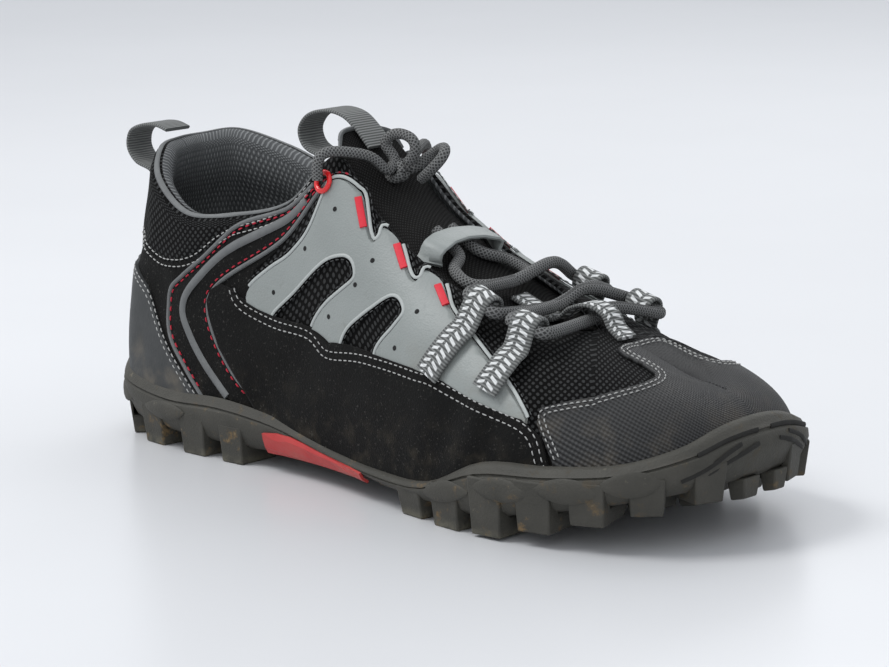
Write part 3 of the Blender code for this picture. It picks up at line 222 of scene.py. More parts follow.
# Lace loops of webbing, the front and the rear one of each side (-1 lateral, 1 medial), with the columns
# foot place, foot share, tip place and tip share: the lower end, and the lace's centre, on the upper
LACE_LOOPS = {-1: ((9.05, 0.46, 9.65, 0.80), (8.05, 0.44, 8.95, 0.88)),
              1: ((8.80, 0.42, 9.30, 0.70), (7.88, 0.42, 8.44, 0.74))}
LOOP_TURN = (150, 120, 90, 60, 30, 0, -30, -60, -80)
LACE_LIFT = 0.0068
LACE_SLACK = 0.0012
EDGE_LIFT = 0.0050
# Bends over the vamp's edge before and after the medial loop: place past the loop's tip, and share
EDGE_BENDS = ((0.9, 0.95), (0.2, 0.98))

# Route of each lace half behind the crossings: place, share across the tongue and lift off it
LACE_CROSSING = 9.75
LACE_LIFT_AT_CROSSING = 0.0022
LACE_BAR = (0.0060, 0.0, 0.0)
LACE_REAR_RUN = ((9.0, 0.0, 0.0022), (8.72, 0.66, 0.0006), (8.38, 0.62, 0.0), (8.24, 0.24, 0.0),
                 (7.95, 0.17, 0.0), (7.72, 0.17, 0.0))

# Free parts of the lace: places, shares and lifts on the upper and the tongue, then lengths from the knot,
# all chosen from the way the lace lies
LACE_OUT = (5.95, 0.985, 0.0062)
LACE_IN = (6.35, 0.55, 0.0050)
LACE_SIDES = 12
LACE_SPACING = 0.0012
CROSSING_SPACING = 0.0011
STRAP_SPACING = 0.0008
KNOT_THINNING = 0.85
LACE_EASING = 5
KNOT_ENTRY = (0.0, 0.0052, 0.0004)
KNOT_TURN = (0.0030, 0.0008, 0.0026)
KNOT_TURN_SPACING = 0.0026
KNOT_PLACE = (6.62, 0.0)
BOW_FRONT = ((0.0000, -0.0005, 0.0034), (-0.0018, -0.0012, 0.0062), (-0.0042, -0.0022, 0.0095),
             (-0.0005, -0.0005, 0.0130), (0.0062, 0.0010, 0.0118), (0.0080, 0.0012, 0.0075),
             (0.0052, 0.0003, 0.0036))
BOW_REAR = ((0.0041, 0.0032, 0.0006), (0.0090, 0.0090, 0.0060), (0.0150, 0.0080, 0.0085),
            (0.0180, 0.0040, 0.0060), (0.0140, 0.0020, 0.0012), (0.0085, 0.0030, -0.0024))
KNOT_LIFT = 0.0036
FREE_LACE_SHARE = 0.9

# Top eyelets, as a place and a share on the upper
EYELET_PLACE = (5.85, 0.90)

# Keeper band: its two edges along the tongue, and the share of it that climbs over the lace
KEEPER_PLACES = (8.18, 7.80)
KEEPER_BRIDGE = 0.22
KEEPER_SPAN = (-0.88, 0.98)
KEEPER_EDGE = 0.98
KEEPER_CLIMB = 0.86
KEEPER_STOUTNESS = 1.2
KEEPER_BAND = 0.0095
KEEPER_UP = (0.25, 0.0, 1.0)

# Strap down the middle of the vamp: places and lifts on the toe's ridge, then on the tongue
VAMP_ON_RIDGE = ((11.3, 0.0012), (11.0, 0.0028), (10.78, 0.0062))
VAMP_OVER_BAR = 0.0098
VAMP_NARROWING = 0.9
VAMP_ON_TONGUE = ((10.15, 0.0078), (10.0, 0.0034), (9.85, 0.0008), (9.5, 0.0006), (9.15, 0.0006))
PULL_LOOP_WIDTH = 0.012

# Paths of the pull loops in the shoe's middle plane, as lengths from the top of the heel and of the tongue
HEEL_PULL = ((-0.0036, -0.0170), (-0.0068, -0.0125), (-0.0145, -0.0100), (-0.0188, -0.0050),
             (-0.0172, 0.0010), (-0.0105, 0.0038), (-0.0030, 0.0044), (0.0030, 0.0030))
TONGUE_PULL = ((0.0010, 0.0028), (-0.0050, 0.0085), (-0.0115, 0.0128), (-0.0200, 0.0140),
               (-0.0290, 0.0118), (-0.0335, 0.0065), (-0.0315, 0.0010), (-0.0250, -0.0016),
               (-0.0175, -0.0010), (-0.0135, 0.0008))


def smooth(value):
    value = min(1.0, max(0.0, value))
    return value * value * (3 - 2 * value)


def weld(mesh, merge=0.00002, outward=False):
    """Joins points that fall together and, where asked, turns all faces outward."""
    work = bmesh.new()
    work.from_mesh(mesh)
    if merge:
        bmesh.ops.remove_doubles(work, verts=work.verts, dist=merge)
    if outward:
        bmesh.ops.recalc_face_normals(work, faces=work.faces)
    work.to_mesh(mesh)
    work.free()


def apply_modifiers(item):
    graph = bpy.context.evaluated_depsgraph_get()
    graph.update()
    mesh = bpy.data.meshes.new_from_object(item.evaluated_get(graph))
    item.modifiers.clear()
    item.data = mesh
    return mesh


def grid_faces(lines, count, flip=False, along=False):
    """Faces of a grid whose points run along each line in turn, each face begun across or along them."""
    faces = []
    for i in range(lines - 1):
        for j in range(count - 1):
            a, b = i * count + j, (i + 1) * count + j
            face = (a, a + 1, b + 1, b) if along else (a, b, b + 1, a + 1)
            faces.append(face[::-1] if flip else face)
    return faces


def bevel(item, width, segments, angle=None):
    edge = item.modifiers.new("Edge", "BEVEL")
    edge.width = width
    edge.segments = segments
    if angle:
        edge.limit_method = "ANGLE"
        edge.angle_limit = math.radians(angle)


def ridge_at(t):
    """Offset of the toe's ridge to the medial side."""
    return RIDGE_OFFSET * BALL_WIDTH * min(1.0, max(0.0, (t - RIDGE_START) / RIDGE_RUN))


def section_loop():
    """The sections as one closed loop: lateral side heel to toe, then medial side toe to heel."""
    loops = []
    for side, sign in (("lateral", -1.0), ("medial", 1.0)):
        rows = []
        for index, row in enumerate(SECTIONS):
            value = dict(zip(COLUMNS, row))
            sole = SOLE_SECTIONS[index]
            ridge = ridge_at(index)
            foot_y = sign * value[side] * BALL_WIDTH
            if index == LAST_ROW:
                foot_y = TOE_OFFSET * BALL_WIDTH
            foot_z = np.interp(value["at"], FEATHER_AT, FEATHER_RISE) * FEATHER_HEIGHT
            edge_y = sign * value["edge_" + side] * BALL_WIDTH + ridge
            edge_z = value["rise_" + side] * HEIGHT_OF_ROW[index]
            rows.append((value["at"] * LENGTH, foot_y, foot_z, value["edge_at"] * LENGTH, edge_y, edge_z,
                         value["arrival"], value["low_pull"], value["high_pull"],
                         value["belly"] * BALL_WIDTH, sole[0] * RIM_HEIGHT, sole[1] * SOLE_FLARE,
                         sole[2] * SOLE_FLARE, sole[3] * SOLE_FLARE))
        loops.append(rows)
    return np.array(loops[0] + loops[1][-2:0:-1])


LOOP = section_loop()
LOOP_LENGTH = len(LOOP)


def station(side, t):
    """Smooth section values at place t, 0 at the heel's centre line and LAST_ROW at the toe tip."""
    place = (t if side < 0 else LOOP_LENGTH - t) % LOOP_LENGTH
    index = int(math.floor(place))
    f = place - index
    before, start, end, after = (LOOP[(index + k) % LOOP_LENGTH] for k in (-1, 0, 1, 2))
    value = 0.5 * (2 * start + (end - before) * f + (2 * before - 5 * start + 4 * end - after) * f ** 2
                   + (3 * start - before - 3 * end + after) * f ** 3)
    ridge = ridge_at(t)
    half_gap = max(0.0, (value[4] - ridge) * side) if t < VAMP_POINT else 0.0
    value[4] = ridge + side * half_gap
    return value


def plan_outward(side, t):
    """Horizontal direction out of the shoe at the upper's lower edge."""
    step = 0.05
    along = station(side, min(t + step, LAST_ROW))[:2] - station(side, max(t - step, 0.0))[:2]
    if t < step:
        return Vector((-1.0, 0.0, 0.0))
    if t > LAST_ROW - step:
        return Vector((1.0, 0.0, 0.0))
    return Vector((-side * -along[1], side * -along[0], 0.0)).normalized() * -1.0


def upper_point(side, t, s):
    """Point of the upper's outer face: s runs from 0 at the lower edge to 1 at the topline or ridge."""
    v = station(side, t)
    foot = Vector(v[0:3])
    edge = Vector(v[3:6])
    out = foot - edge
    out.z = 0.0
    reach = out.length
    out.normalize()
    rise = edge.z - foot.z
    angle = math.radians(v[6])
    low = foot + Vector((0, 0, rise * v[7])) + out * v[9]
    length = (reach * math.cos(angle) + rise * math.sin(angle)) * v[8]
    high = edge + out * (math.cos(angle) * length) - Vector((0, 0, math.sin(angle) * length))
    u = 1.0 - s
    return foot * u ** 3 + low * (3 * u * u * s) + high * (3 * u * s * s) + edge * s ** 3


def upper_normal(side, t, s):
    step = 0.02
    t0, t1 = max(t - step, 0.0), min(t + step, LAST_ROW)
    s0, s1 = max(s - step, 0.0), min(s + step, 1.0)
    along = upper_point(side, t1, s) - upper_point(side, t0, s)
    if t < step:
        along = Vector((0.0, float(side), 0.0))
    if t > LAST_ROW - step:
        along = Vector((0.0, -float(side), 0.0))
    upward = upper_point(side, t, s1) - upper_point(side, t, s0)
    return along.cross(upward).normalized() * -float(side)


def on_upper(side, t, s, lift):
    return upper_point(side, t, s) + upper_normal(side, t, s) * lift


def side_length(side, t):
    """Length up the upper's side, from the slope of its last tenth."""
    return (upper_point(side, t, 1.0) - upper_point(side, t, 0.9)).length * 10


def share_at_height(side, t, height):
    """The share s at which the upper's outer face reaches a height."""
    low, high = 0.0, 1.0
    for _ in range(30):
        middle = (low + high) / 2
        if upper_point(side, t, middle).z < height:
            low = middle
        else:
            high = middle
    return low


def tread_height(x):
    """Lowest line of the lugs: flat under heel and ball, with a bevelled heel and a sprung toe."""
    toe = max(0.0, (x - (LENGTH - TOE_SPRING_LENGTH)) / TOE_SPRING_LENGTH)
    heel = max(0.0, (HEEL_BEVEL_LENGTH - x) / HEEL_BEVEL_LENGTH)
    return TOE_SPRING * min(toe, 1.0) ** TOE_SPRING_POWER + HEEL_BEVEL * heel ** 2


def base_height(x):
    """Underside of the sole between the lugs."""
    arch = np.interp(x / LENGTH, (0.30, 0.36, 0.50, 0.57), (0.0, 1.0, 1.0, 0.0))
    toe = np.interp(x / LENGTH, (0.80, 1.0), (0.0, 1.0))
    return tread_height(x) + LUG_HEIGHT * (1.0 - 0.4 * toe) + ARCH_RISE * arch


def boolean(item, cutter, operation):
    step = item.modifiers.new(operation.title(), "BOOLEAN")
    step.operation = operation
    step.object = cutter
    step.solver = "EXACT"


def prism(name, outline, low, high, axis):
    """A cutter from a flat outline, along Y or Z."""
    curve = bpy.data.curves.new(name, "CURVE")
    curve.dimensions = "2D"
    curve.fill_mode = "BOTH"
    curve.extrude = (high - low) / 2
    spline = curve.splines.new("POLY")
    spline.points.add(len(outline) - 1)
    for point, (over, up) in zip(spline.points, outline):
        point.co = (over, up, 0.0, 1.0)
    spline.use_cyclic_u = True
    outline_item = bpy.data.objects.new(name + "_outline", curve)
    bpy.context.scene.collection.objects.link(outline_item)
    graph = bpy.context.evaluated_depsgraph_get()
    mesh = bpy.data.meshes.new_from_object(outline_item.evaluated_get(graph))
    bpy.data.objects.remove(outline_item, do_unlink=True)
    middle = (low + high) / 2
    for vertex in mesh.vertices:
        over, up, depth = vertex.co
        if axis == "Y":
            vertex.co = (over - MIDDLE, middle - depth, up)
        else:
            vertex.co = (over - MIDDLE, up, middle + depth)
    weld(mesh, 0.000005, outward=True)
    item = bpy.data.objects.new(name, mesh)
    bpy.context.scene.collection.objects.link(item)
    item.hide_render = True
    return item


def sole_profile(side, t):
    """Section of the cup sole: up the inside face, over the rim and down the side to the tread."""
    v = station(side, t)
    rim = v[10]
    out = plan_outward(side, t)
    top = share_at_height(side, t, rim)
    foot = upper_point(side, t, 0.0)
    base = base_height(foot.x + out.x * v[13])
    inside = [on_upper(side, t, top * k / 3, CURVED_GAP) for k in range(4)]
    floor = inside[0] - Vector((0, 0, SEAT_GAP))
    rim_edge = upper_point(side, t, top) + out * v[11]
    rim_edge.z = rim - RIM_ROUNDING
    bulge = foot + out * v[12]
    bulge.z = base + (rim - base) * BULGE_SHARE
    shoulder = foot + out * v[13]
    shoulder.z = base + (rim - base) * SHOULDER_SHARE
    tread_edge = foot + out * (v[13] - TREAD_CHAMFER)
    tread_edge.z = base
    return [floor] + inside[1:] + [rim_edge, bulge, shoulder, tread_edge]


def crown_at(t):
    """Rise of the floor's middle, which fades towards heel and toe."""
    return FLOOR_CROWN * smooth(min(t, LAST_ROW - t) / CROWN_FADE)


def across(a, b, crown):
    """Points between the two sides of a row, raised in the middle by crown."""
    shares = (0.2, 0.5, 0.8)
    return [a.lerp(b, share) + Vector((0, 0, crown * 4 * share * (1 - share))) for share in shares]


def block(points_low, points_high):
    """A closed prism between two outlines with the same number of corners."""
    count = len(points_low)
    faces = [tuple(range(count))[::-1], tuple(range(count, 2 * count))]
    faces += [(k, (k + 1) % count, count + (k + 1) % count, count + k) for k in range(count)]
    return list(points_low) + list(points_high), faces


def flat_lug(at, side_place, length, width, turn, taper, height):
    """A lug inside the tread's edge, standing on the ground line and sunk into the sole's base."""
    x0, y0 = at * LENGTH, side_place * BALL_WIDTH
    low, high = [], []
    angle = math.radians(turn)
    for sx, sy in ((-1, -1), (1, -1), (1, 1), (-1, 1)):
        narrow = taper if sx > 0 else 1.0
        for outline, draft in ((low, LUG_DRAFT), (high, 0.0)):
            dx = sx * (length / 2 - draft)
            dy = sy * (width / 2 * narrow - draft)
            x = x0 + dx * math.cos(angle) - dy * math.sin(angle)
            y = y0 + dx * math.sin(angle) + dy * math.cos(angle)
            z = base_height(x) - height if outline is low else base_height(x) + LUG_ROOT
            outline.append(Vector((x, y, z)))
    return block(low, high)


def edge_lug(side, t, length, rise):
    """A lug on the tread's edge, which climbs the sole's side to a share of its height."""
    v = station(side, t)
    out = plan_outward(side, t)
    along = Vector((-out.y, out.x, 0.0))
    foot = upper_point(side, t, 0.0)
    ground = tread_height(foot.x + out.x * v[13])
    base = base_height(foot.x + out.x * v[13])
    top = base + (v[10] - base) * rise
    profile = ((-EDGE_LUG_DEPTH, ground), (v[13] + EDGE_LUG_LOW_PROUD, ground),
               (v[13] + (v[12] - v[13]) * rise + EDGE_LUG_HIGH_PROUD, top), (CURVED_GAP * 2, top),
               (CURVED_GAP * 2, base + LUG_ROOT), (-EDGE_LUG_DEPTH, base + LUG_ROOT))
    ends = []
    for end in (-1, 1):
        ends.append([Vector((0, 0, height)) + Vector((foot.x, foot.y, 0)) + out * reach
                     + along * (end * (length / 2 - (LUG_DRAFT if height == ground else 0.0)))
                     for reach, height in profile])
    return block(ends[0], ends[1])


def tongue_row(t, extension):
    """Points across the tongue at a throat station, from under one edge to under the other."""
    depth = UPPER_WALL + CURVED_GAP * 2
    row = {}
    for side in (-1, 1):
        tuck = 1.0 - TONGUE_UNDERLAP / side_length(side, t)
        row[side] = [on_upper(side, t, tuck + (1.0 - tuck) * k / 2, -depth) for k in range(3)]
    a, b = row[-1][2], row[1][2]
    handle = (b - a).length * np.interp(t, (TONGUE_REAR, 7.5), TONGUE_FULLNESS)
    pull_a = a + (row[-1][2] - row[-1][1]).normalized() * handle
    pull_b = b + (row[1][2] - row[1][1]).normalized() * handle
    middle = []
    for k in range(1, 6):
        u = k / 6
        middle.append(a * (1 - u) ** 3 + pull_a * (3 * u * (1 - u) ** 2)
                      + pull_b * (3 * u * u * (1 - u)) + b * u ** 3)
    return [point + extension for point in row[-1] + middle + row[1][::-1]]


def tongue_crest(t, share, lift):
    """A point on the tongue between its edges, share -1 lateral to 1 medial, lifted off its face."""
    row = tongue_row(t, Vector())[2:9]
    place_on = (share + 1) / 2 * 6
    k = min(5, int(place_on))
    point = row[k].lerp(row[k + 1], place_on - k)
    side_way = row[min(6, k + 1)] - row[k]
    back = tongue_row(t - 0.1, Vector())[2:9]
    along = back[k].lerp(back[k + 1], place_on - k) - point
    normal = side_way.cross(along).normalized()
    if normal.z < 0:
        normal = -normal
    return point + normal * lift


def loop_frame(side, row):
    """Where a lace loop sits: its centre, the way out of the upper, towards the heel and up the strap."""
    foot = on_upper(side, row[0], row[1], 0.0)
    tip = on_upper(side, row[2], row[3], 0.0)
    normal = upper_normal(side, row[2], row[3])
    run = (tip - foot).normalized()
    rearward = run.cross(normal).normalized()
    if rearward.x > 0:
        rearward = -rearward
    climb = run - normal * run.dot(normal)
    return tip + normal * LACE_LIFT, normal, rearward, climb.normalized()


# Creases of the worn upper, with the columns place and share at one end, the same at the other end,
# half width and depth. A soft ridge runs along each side of the trough.
CREASES = (
    (9.45, 0.50, 9.95, 0.98, 0.0028, 0.0007),
    (10.05, 0.55, 10.35, 0.98, 0.0026, 0.0006),
    (8.90, 0.12, 9.30, 0.42, 0.0040, 0.0007),
    (8.10, 0.10, 8.55, 0.38, 0.0045, 0.0006),
    (3.05, 0.66, 3.90, 0.86, 0.0030, 0.0007),
    (1.20, 0.50, 1.90, 0.74, 0.0032, 0.0006),
    (2.20, 0.25, 2.70, 0.55, 0.0060, 0.0006),
    (4.80, 0.12, 5.60, 0.30, 0.0060, 0.0008),
)
# Length along the shoe of one place, and up its side of the whole share, for distances on the upper
PLACE_LENGTH = 0.0205
SHARE_LENGTH = 0.060

# Share above which the two sides of the toe turn into one another
RIDGE_BLEND = 0.90


def metres(t, s):
    """A place and a share on the upper as lengths along and up its side."""
    return t * PLACE_LENGTH, s * SHARE_LENGTH


def crease_lift(t, s):
    """How far the surface leaves its plain form in the soft folds at one place."""
    lift = 0.0
    for t0, s0, t1, s1, width, depth in CREASES:
        ax, ay = metres(t0, s0)
        bx, by = metres(t1, s1)
        px, py = metres(t, s)
        run = (bx - ax) ** 2 + (by - ay) ** 2
        f = min(1.0, max(0.0, ((px - ax) * (bx - ax) + (py - ay) * (by - ay)) / run))
        away = math.hypot(px - ax - f * (bx - ax), py - ay - f * (by - ay)) / width
        if away < 4:
            lift += depth * (0.45 * math.exp(-((away - 1.8) / 0.9) ** 2) - math.exp(-away * away))
    return lift


def framed(point):
    return Vector((point[0] - MIDDLE, point[1], point[2]))


def skin(side, t, s, lift=0.0):
    """A point over the upper's outer face, creases and all, in the part's frame, and the way out."""
    t = min(max(t, 0.0), LAST_ROW)
    s = min(s, 1.0)
    normal = upper_normal(side, t, s)
    if t >= VAMP_POINT and s > RIDGE_BLEND:
        share = 0.5 * smooth((s - RIDGE_BLEND) / (1 - RIDGE_BLEND))
        normal = (normal * (1 - share) + upper_normal(-side, t, s) * share).normalized()
    return framed(upper_point(side, t, s) + normal * (lift + crease_lift(t, s))), normal


def curve_through(points, spacing):
    """Points a set distance apart on a smooth curve through the given ones, of any dimension."""
    points = [np.array(point, float) for point in points]
    fine = []
    for k in range(len(points) - 1):
        p0, p1, p2 = points[max(k - 1, 0)], points[k], points[k + 1]
        p3 = points[min(k + 2, len(points) - 1)]
        for f in np.linspace(0, 1, 12, endpoint=False):
            fine.append(0.5 * (2 * p1 + (p2 - p0) * f + (2 * p0 - 5 * p1 + 4 * p2 - p3) * f * f
                               + (3 * p1 - p0 - 3 * p2 + p3) * f ** 3))
    fine.append(points[-1])
    fine = np.array(fine)
    lengths = np.concatenate([[0], np.cumsum(np.linalg.norm(np.diff(fine, axis=0), axis=1))])
    count = max(2, int(round(lengths[-1] / spacing)) + 1)
    at = np.linspace(0, lengths[-1], count)
    return np.stack([np.interp(at, lengths, fine[:, k]) for k in range(fine.shape[1])], axis=1)


def line_on_upper(side, places, lift, spacing=0.0012):
    """A smooth line over the upper through places and shares: its points and the ways out."""
    scaled = [metres(t, s) for t, s in places]
    points, ways = [], []
    for u, v in curve_through(scaled, spacing):
        point, normal = skin(side, u / PLACE_LENGTH, v / SHARE_LENGTH, lift)
        points.append(point)
        ways.append(normal)
    return points, ways


def tangents(points):
    count = len(points)
    return [(points[min(k + 1, count - 1)] - points[max(k - 1, 0)]).normalized() for k in range(count)]


def beside(line, amount, lift=0.0):
    """The line moved sideways over the surface, and off it by lift."""
    points, ways = line
    runs = tangents(points)
    return [point + run.cross(way).normalized() * amount + way * lift
            for point, way, run in zip(points, ways, runs)], ways


class Form:
    """Collects the points, faces and lengthwise coordinates of one joined mesh."""

    def __init__(self):
        self.points, self.faces, self.coordinates = [], [], []

    def add(self, points, faces, coordinates=None):
        start = len(self.points)
        self.points.extend(points)
        self.coordinates.extend(coordinates or [(0.0, 0.0)] * len(points))
        self.faces.extend(tuple(start + corner for corner in face) for face in faces)

    def make(self, name, look, angle=40, attributes=None):
        mesh = bpy.data.meshes.new(name)
        mesh.from_pydata([tuple(point) for point in self.points], [], self.faces)
        layer = mesh.uv_layers.new(name="lengths")
        corners = np.zeros(len(mesh.loops), int)
        mesh.loops.foreach_get("vertex_index", corners)
        layer.data.foreach_set("uv", np.array(self.coordinates, float)[corners].ravel())
        for word, values in (attributes or {}).items():
            held = mesh.attributes.new(word, "FLOAT", "POINT")
            held.data.foreach_set("value", np.array(values, np.float32))
        mesh.materials.append(look)
        mesh.shade_smooth()
        mesh.set_sharp_from_angle(angle=math.radians(angle))
        item = bpy.data.objects.new(name, mesh)
        bpy.context.scene.collection.objects.link(item)
        return item


def ring_profile(half_width, half_height, sides=8):
    return [(half_width * math.cos(2 * math.pi * k / sides), half_height * math.sin(2 * math.pi * k / sides))
            for k in range(sides)]


def strap_profile(width, thickness):
    """A flat band with round selvedges, upper side first."""
    half, r = width / 2, thickness / 2
    return [(-half, 0.0), (-half + r * 0.4, r * 0.8), (-half + r, r), (0.0, r), (half - r, r),
            (half - r * 0.4, r * 0.8), (half, 0.0), (half - r * 0.4, -r * 0.8), (half - r, -r),
            (0.0, -r), (-half + r, -r), (-half + r * 0.4, -r * 0.8)]


def sweep(form, line, profile, closed=False, scales=None):
    """A profile carried along a line: its first number runs sideways, its second off the surface."""
    points, ways = line
    count, sides = len(points), len(profile)
    runs = tangents(points)
    if closed:
        runs = [(points[(k + 1) % count] - points[k - 1]).normalized() for k in range(count)]
    made, coordinates, length = [], [], 0.0
    for k in range(count):
        if k:
            length += (points[k] - points[k - 1]).length
        sideways = runs[k].cross(ways[k]).normalized()
        off = sideways.cross(runs[k]).normalized()
        scale = scales[k] if scales else 1.0
        for a, b in profile:
            made.append(points[k] + sideways * (a * scale) + off * (b * scale))
            coordinates.append((length, a * scale if abs(b) < abs(a) * 3 else math.atan2(b, a) * abs(b)))
    faces = []
    for k in range(count if closed else count - 1):
        for j in range(sides):
            after = (j + 1) % sides
            here, there = k * sides, (k + 1) % count * sides
            faces.append((here + j, here + after, there + after, there + j))
    if not closed:
        faces.append(tuple(range(sides))[::-1])
        faces.append(tuple((count - 1) * sides + j for j in range(sides)))
    form.add(made, faces, coordinates)


def round_tube(form, points, radius, sides):
    """A round cord along points, with its surface coordinates in metres along and round it."""
    count = len(points)
    runs = tangents(points)
    off = runs[0].orthogonal().normalized()
    made, coordinates, length = [], [], 0.0
    for k in range(count):
        if k:
            length += (points[k] - points[k - 1]).length
        off = (off - runs[k] * off.dot(runs[k])).normalized()
        other = runs[k].cross(off)
        for j in range(sides):
            angle = 2 * math.pi * j / sides
            made.append(points[k] + off * (radius * math.cos(angle)) + other * (radius * math.sin(angle)))
            coordinates.append((length, angle * radius))
    faces = [tuple(range(sides))[::-1], tuple((count - 1) * sides + j for j in range(sides))]
    for k in range(count - 1):
        for j in range(sides):
            after = (j + 1) % sides
            faces.append((k * sides + j, k * sides + after, (k + 1) * sides + after, (k + 1) * sides + j))
    form.add(made, faces, coordinates)


# Form of a stitch: share of its length, swell and lift as shares of its radius
STITCH_FORM = ((0.0, 0.45, -0.4), (0.2, 1.0, 0.25), (0.8, 1.0, 0.25), (1.0, 0.45, -0.4))


def stitches(form, line, length=0.0017, gap=0.0010, radius=0.00024):
    """Thread along a line: short rounded strands whose ends dip into the cloth."""
    points, ways = line
    distance = np.concatenate([[0], np.cumsum([(b - a).length for a, b in zip(points, points[1:])])])
    table = np.array(points)
    outward = np.array(ways)
    pitch = length + gap
    for start in np.arange(gap / 2, distance[-1] - length, pitch):
        ends = [Vector([np.interp(at, distance, table[:, k]) for k in range(3)])
                for at in (start, start + length)]
        centre = start + length / 2
        way = Vector([np.interp(centre, distance, outward[:, k]) for k in range(3)]).normalized()
        run = (ends[1] - ends[0]).normalized()
        sideways = run.cross(way).normalized()
        made = []
        for share, swell, lift in STITCH_FORM:
            centre, size = ends[0].lerp(ends[1], share) + way * (radius * lift), radius * swell
            made += [centre + sideways * (size * math.cos(a)) + way * (size * math.sin(a))
                     for a in (0.0, 1.26, 2.51, 3.77, 5.03)]
        faces = [(4, 3, 2, 1, 0), (15, 16, 17, 18, 19)]
        faces += [(5 * k + j, 5 * k + (j + 1) % 5, 5 * k + 5 + (j + 1) % 5, 5 * k + 5 + j)
                  for k in range(3) for j in range(5)]
        form.add(made, faces)


def signed_distance(places, outline):
    """Distance in metres of each place on the upper to an outline, positive inside it."""
    scale = np.array([PLACE_LENGTH, SHARE_LENGTH])
    points = np.array(places) * scale
    corners = np.array(outline) * scale
    nearest = np.full(len(points), 1.0)
    inside = np.zeros(len(points), bool)
    for a, b in zip(corners, np.roll(corners, -1, axis=0)):
        run = b - a
        f = np.clip(((points - a) @ run) / (run @ run), 0, 1)
        nearest = np.minimum(nearest, np.linalg.norm(points - a - f[:, None] * run, axis=1))
        crosses = (a[1] > points[:, 1]) != (b[1] > points[:, 1])
        with np.errstate(divide="ignore", invalid="ignore"):
            at = a[0] + (points[:, 1] - a[1]) / (b[1] - a[1]) * run[0]
        inside ^= crosses & (points[:, 0] < at)
    return np.where(inside, nearest, -nearest)


# Materials
class Look:
    """A material's node tree with short ways to add nodes."""

    def __init__(self, name, roughness=0.8, metallic=0.0, **more):
        self.material = bpy.data.materials.new(name)
        self.material.use_nodes = True
        self.tree = self.material.node_tree
        self.shader = self.tree.nodes["Principled BSDF"]
        self.shader.inputs["Roughness"].default_value = roughness
        self.shader.inputs["Metallic"].default_value = metallic
        for word, value in more.items():
            self.shader.inputs[word.replace("_", " ")].default_value = value
        self.place = self.node("ShaderNodeTexCoord").outputs["Object"]
        self.lengths = self.node("ShaderNodeUVMap", uv_map="lengths").outputs["UV"]

    def node(self, kind, inputs=None, **settings):
        made = self.tree.nodes.new(kind)
        for word, value in settings.items():
            setattr(made, word, value)
        for key, value in (inputs or {}).items():
            self.put(made.inputs[key], value)
        return made

    def put(self, socket, value):
        if isinstance(value, bpy.types.NodeSocket):
            self.tree.links.new(value, socket)
        else:
            socket.default_value = value

    def noise(self, size, detail=3.0, roughness=0.55):
        made = self.node("ShaderNodeTexNoise", {"Vector": self.place, "Scale": 1.0 / size,
                                                "Detail": detail, "Roughness": roughness})
        return made.outputs["Fac"]

    def cells(self, size):
        made = self.node("ShaderNodeTexVoronoi", {"Vector": self.place, "Scale": 1.0 / size})
        return made.outputs["Distance"]

    def maths(self, operation, a, b=0.0, c=0.0):
        return self.node("ShaderNodeMath", {0: a, 1: b, 2: c}, operation=operation).outputs[0]

    def times(self, a, b):
        return self.maths("MULTIPLY", a, b)

    def ramp(self, value, low, high, start=0.0, end=1.0):
        made = self.node("ShaderNodeMapRange", {"Value": value, "From Min": low, "From Max": high,
                                                "To Min": start, "To Max": end},
                         interpolation_type="SMOOTHSTEP")
        return made.outputs["Result"]

    def mix(self, share, a, b):
        made = self.node("ShaderNodeMix", {"Factor": share, 6: a, 7: b}, data_type="RGBA")
        return made.outputs[2]

    def attribute(self, name):
        return self.node("ShaderNodeAttribute", attribute_name=name).outputs["Fac"]

    def height(self):
        return self.node("ShaderNodeSeparateXYZ", {0: self.place}).outputs["Z"]

    def stripes(self, turn, size):
        """A soft wave from 0 to 1 across stripes of a size, turned by an angle in degrees."""
        parts = self.node("ShaderNodeSeparateXYZ", {0: self.lengths}).outputs
        angle = math.radians(turn)
        along = self.maths("ADD", self.times(parts["X"], math.cos(angle)),
                           self.times(parts["Y"], math.sin(angle)))
        wave = self.maths("SINE", self.times(along, 2 * math.pi / size))
        return self.maths("MULTIPLY_ADD", wave, 0.5, 0.5)

    def weave(self, turn, other, size):
        """Crossed threads, 1 where two crests meet."""
        return self.times(self.stripes(turn, size), self.stripes(other, size))

    def bump(self, value, distance, strength=1.0, onto=None):
        inputs = {"Height": value, "Distance": distance, "Strength": strength}
        if onto is not None:
            inputs["Normal"] = onto
        return self.node("ShaderNodeBump", inputs).outputs["Normal"]

    def finish(self, colour, normal=None, roughness=None):
        self.put(self.shader.inputs["Base Color"], colour)
        if normal is not None:
            self.put(self.shader.inputs["Normal"], normal)
        if roughness is not None:
            self.put(self.shader.inputs["Roughness"], roughness)
        return self.material


def srgb(red, green, blue):
    """A colour given as it looks, 0 to 255, as the shader wants it."""
    return tuple(((v / 255 + 0.055) / 1.055) ** 2.4 if v > 10 else v / 255 / 12.92
                 for v in (red, green, blue)) + (1.0,)


DUST = srgb(118, 108, 92)
MUD = srgb(120, 98, 66)


def dusty(look, colour, low, high, amount, size=0.012):
    """Dust that settles near the ground, in patches."""
    near = look.ramp(look.height(), low, high, 1.0, 0.0)
    patch = look.ramp(look.noise(size, 5.0), 0.45, 0.75)
    share = look.times(look.times(near, patch), amount)
    return look.mix(share, colour, DUST)


def soiled(look, tone, size, amount, soil):
    """Faint patches of another tone."""
    return look.mix(look.times(look.noise(size, 4.0), amount), tone, soil)


